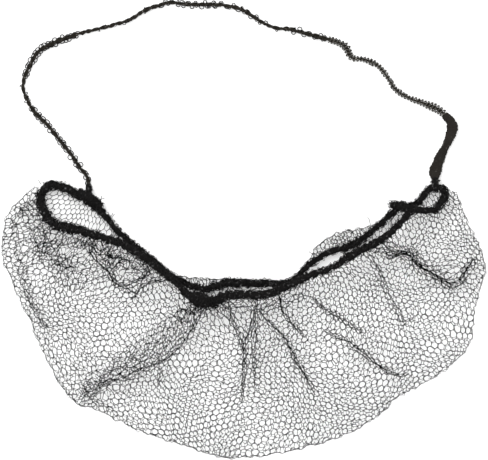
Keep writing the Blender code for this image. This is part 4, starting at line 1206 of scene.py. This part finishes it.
def buildHead():
    line = headLine()
    share = np.linspace(0.0, 1.0, len(line))
    start, pitch, radius, ribRadius, count = headCord["ribs"]
    width = headWidth(share)
    # the core and its yarns start thin, and are thin again inside the ribs
    foot = np.clip(share * 60, 0.5, 1.0)
    foot = foot * (1 - (1 - headCord["inside"]) * np.clip((share - start) * 60, 0.0, 1.0))
    lumps = 1 + 0.20 * waves(share, (41, 61, 83, 131), 2)
    core = strands(line[None], headCord["core"] * foot * width * lumps, sidesOf["cord"], capped=True,
                   relief=roughness(len(line), sidesOf["cord"], 0.10, 6))
    numbers = np.arange(headCord["yarns"])
    pitches = [headCord["pitch"] * (1 if number % 2 else -1) * (0.85 + 0.1 * number) for number in numbers]
    radii = headCord["casing"] * width * foot
    wound = yarnRings(line, False, radii, pitches, numbers / headCord["yarns"], 0.16, 400)
    ring, ply, plyPitch = headCord["plies"]
    plies = yarnRings(line, False, ring * width * foot, [plyPitch] * 2, (0.0, 0.5), 0.10, 405)
    plies = strands(laid(plies, ply * width * foot), ply * width * foot, sidesOf["ply"], capped=True)
    casing = strands(laid(wound, headCord["yarnRadius"]), headCord["yarnRadius"], sidesOf["fine"])
    main = addMesh("headCore", [core, plies, casing], headYarn)
    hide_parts("head_elastic")

    # open loops, and the close ribs of the casing where it has slipped together
    loops = [smallLoops(line, False, headCord["strayLoops"], headCord["core"] * width,
                        headCord["loopSize"] * 0.6, headCord["loopRadius"], 0.4, 401)]
    for number, (middle, reach, many) in enumerate(headCord["loops"]):
        loops.append(openLoops(line, middle, reach, many, 410 + number))
    sleeve = addMesh("headLoops", loops, rimYarn)
    # the ribs run to and fro with pointed turns:
    # path = line + reach * (triangle wave * side + 0.6 * sin(turn) * up)
    stretch = evenLine(line[int(start * len(line)):], headCord["ribSteps"])
    dice = np.random.default_rng(430)
    _, side, up = lineFrame(stretch)
    reach = radius * np.interp(np.linspace(start, 1.0, len(stretch)), share, width)
    reach = reach * dice.uniform(0.75, 1.2, len(stretch))
    turn = travelled(stretch) / pitch * 2 * math.pi + 2 * math.pi * np.arange(count)[:, None] / count
    toAndFro = np.arcsin(0.98 * np.cos(turn)) / 1.37
    ribs = stretch + (reach * toAndFro)[..., None] * side + (0.6 * reach * np.sin(turn))[..., None] * up
    ribs = strands(laid(ribs, ribRadius), ribRadius, sidesOf["rib"])
    ribbed = addMesh("headRibs", [ribs], ribYarn)
    return main, [sleeve, ribbed], line


def openLoops(line, middle, reach, count, seed):
    # round loops that lie open beside the casing, on both sides in turn: each is most of an ellipse,
    # path = foot + high * (1 - cos(bend)) / 2 * out + long * sin(bend) / 2 * ahead
    dice = np.random.default_rng(seed)
    heading, side, _ = lineFrame(line)
    even = (np.arange(count) + dice.uniform(-0.4, 0.4, count)) * 2 / count - 1
    at = np.clip((middle + reach * even) * len(line), 4, len(line) - 5).astype(int)
    out = side[at] * np.where(np.arange(count) % 2 == 0, 1.0, -1.0)[:, None]
    high = (headCord["loopSize"] * dice.uniform(0.55, 1.25, count))[:, None]
    long = (headCord["loopSize"] * dice.uniform(0.9, 1.5, count))[:, None]
    bend = np.linspace(0.1, 2 * math.pi - 0.1, 11)
    away = headCord["core"] * 0.6 + high * (1 - np.cos(bend)) / 2
    ahead = long * np.sin(bend) / 2
    path = line[at][:, None] + out[:, None] * away[..., None] + heading[at][:, None] * ahead[..., None]
    lift = dice.uniform(-headCord["loopLift"], headCord["loopLift"], count)
    path[..., 2] += lift[:, None]
    return strands(laid(path, headCord["loopRadius"]), headCord["loopRadius"], sidesOf["yarn"])


def buildBand():
    # stitches of a flat knit on a flattened round section: wales run along it, and each course bends
    # to a V in every wale
    place, width, thick, turn = bandSections()
    ahead = unit(place[-1] - place[-2])
    footSunk, topSunk = band["sunk"]
    place = np.vstack([place[0] - [0.0, footSunk, 0.0], place, place[-1] + topSunk * ahead])
    width, thick, turn = (np.concatenate([rows[:1], rows, rows[-1:]]) for rows in (width, thick, turn))
    width[-2:] = band["topWidth"]
    length = travelled(place)
    at = np.linspace(0.0, length[-1], band["steps"])
    middle = hermite(length, place, at)
    half = band["knitShare"] * hermite(length, width, at) / 2
    deep = hermite(length, thick, at) / 2
    tilt = hermite(length, turn, at)[:, None]
    rounding, left = band["ends"]
    ends = np.sqrt(np.clip(np.minimum(at, length[-1] - at) / rounding, left, 1.0))
    heading = unit(np.gradient(middle, axis=0))
    level = unit(np.column_stack([heading[:, 1], -heading[:, 0], np.zeros(len(at))]))
    upward = np.cross(level, heading)
    flat = level * np.cos(tilt) + upward * np.sin(tilt)
    proud = upward * np.cos(tilt) - level * np.sin(tilt)
    # the section: across = cos(around) and raised = sin(around), each to a power below 1
    around = np.linspace(0.0, 2 * math.pi, band["around"] + 1)
    across, raised = (np.sign(value) * np.abs(value) ** power
                      for value, power in zip((np.cos(around), np.sin(around)), band["flattened"]))
    # the stitches: height = |sin(pi * course)| ^ 0.7, where the course lags towards each wale's sides
    wale = (across * 0.5 + 0.5) * band["wales"]
    inWale = np.abs(wale - np.floor(wale) - 0.5) * 2
    course = at[:, None] / band["course"] + band["courseBend"] * inWale[None, :]
    stitch = np.abs(np.sin(math.pi * course)) ** 0.7 * (1 - inWale[None, :] ** 3)
    lumps = 1 + band["lumps"] * waves(at / at[-1], (5, 9, 17, 31), 12)[:, None]
    grow = band["stitchHeight"] * (stitch - 0.6)
    wide = (half * ends)[:, None] * lumps + grow
    tall = (deep * ends)[:, None] * lumps + grow
    points = (middle[:, None] + flat[:, None] * (wide * across)[..., None]
              + proud[:, None] * (tall * raised)[..., None])
    points = laid(points, band["lowest"])
    index = np.arange(points[..., 0].size).reshape(points.shape[:2])
    quads = np.stack([index[:-1, :-1], index[1:, :-1], index[1:, 1:], index[:-1, 1:]], axis=-1).reshape(-1, 4)
    yarn = np.stack(np.broadcast_arrays(at[:, None], around[None] / (2 * math.pi), np.zeros((1, 1))), axis=-1)
    faces = [quads, index[:1, :-1], index[-1:, :-1][:, ::-1]]
    piece = addMesh("bandKnit", [(points.reshape(-1, 3), faces, yarn.reshape(-1, 3))], bandYarn)
    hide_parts("side_band")


# Pale plain floor under soft even light, bright enough to show white
stage = {
    "floorReach": 2.0,
    "floorHeight": -0.0002,
    "glow": 0.28,
    "world": 0.98,
    "lampSize": 0.9,
    "lampEnergy": 10.0,
    "lampPlace": (-0.5, 0.6, 1.1),
    "lampAim": (0.0, 0.05, 0.0),
}


def addLamp():
    data = bpy.data.lights.new("softbox", "AREA")
    data.size = stage["lampSize"]
    data.energy = stage["lampEnergy"]
    lamp = addObject("softbox", data)
    lamp.location = stage["lampPlace"]
    right, back, up = np.array(stage["lampPlace"]) - np.array(stage["lampAim"])
    lamp.rotation_euler = (math.atan2(math.hypot(right, back), up), 0.0, math.atan2(right, -back))
    lamp.visible_camera = False


def addStage():
    mesh = bpy.data.meshes.new("floor")
    far = stage["floorReach"]
    mesh.from_pydata([(-far, -far, 0), (far, -far, 0), (far, far, 0), (-far, far, 0)], [], [(0, 1, 2, 3)])
    material = bpy.data.materials.new("paleFloor")
    material.use_nodes = True
    feed(material.node_tree, material.node_tree.nodes["Principled BSDF"], {
        "Base Color": (0.9, 0.9, 0.9, 1.0),
        "Roughness": 0.9,
        "Specular IOR Level": 0.1,
        "Emission Color": (1.0, 1.0, 1.0, 1.0),
        "Emission Strength": stage["glow"],
    })
    mesh.materials.append(material)
    floor = addObject("floor", mesh)
    floor.location = (0.0, 0.0, stage["floorHeight"])
    world = bpy.data.worlds.new("studio")
    world.use_nodes = True
    feed(world.node_tree, world.node_tree.nodes["Background"], {0: (1.0, 1.0, 1.0, 1.0), 1: stage["world"]})
    bpy.context.scene.world = world
    addLamp()
    bpy.context.scene.view_settings.view_transform = "Standard"
    bpy.context.scene.view_settings.look = "None"


addCamera()
headMain, headSleeves, headPath = buildHead()
buildBand()
netPieces, netFlats = buildNet()
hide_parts("net_pouch")
buildRim()
buildSeams()
buildTail()
addStage()
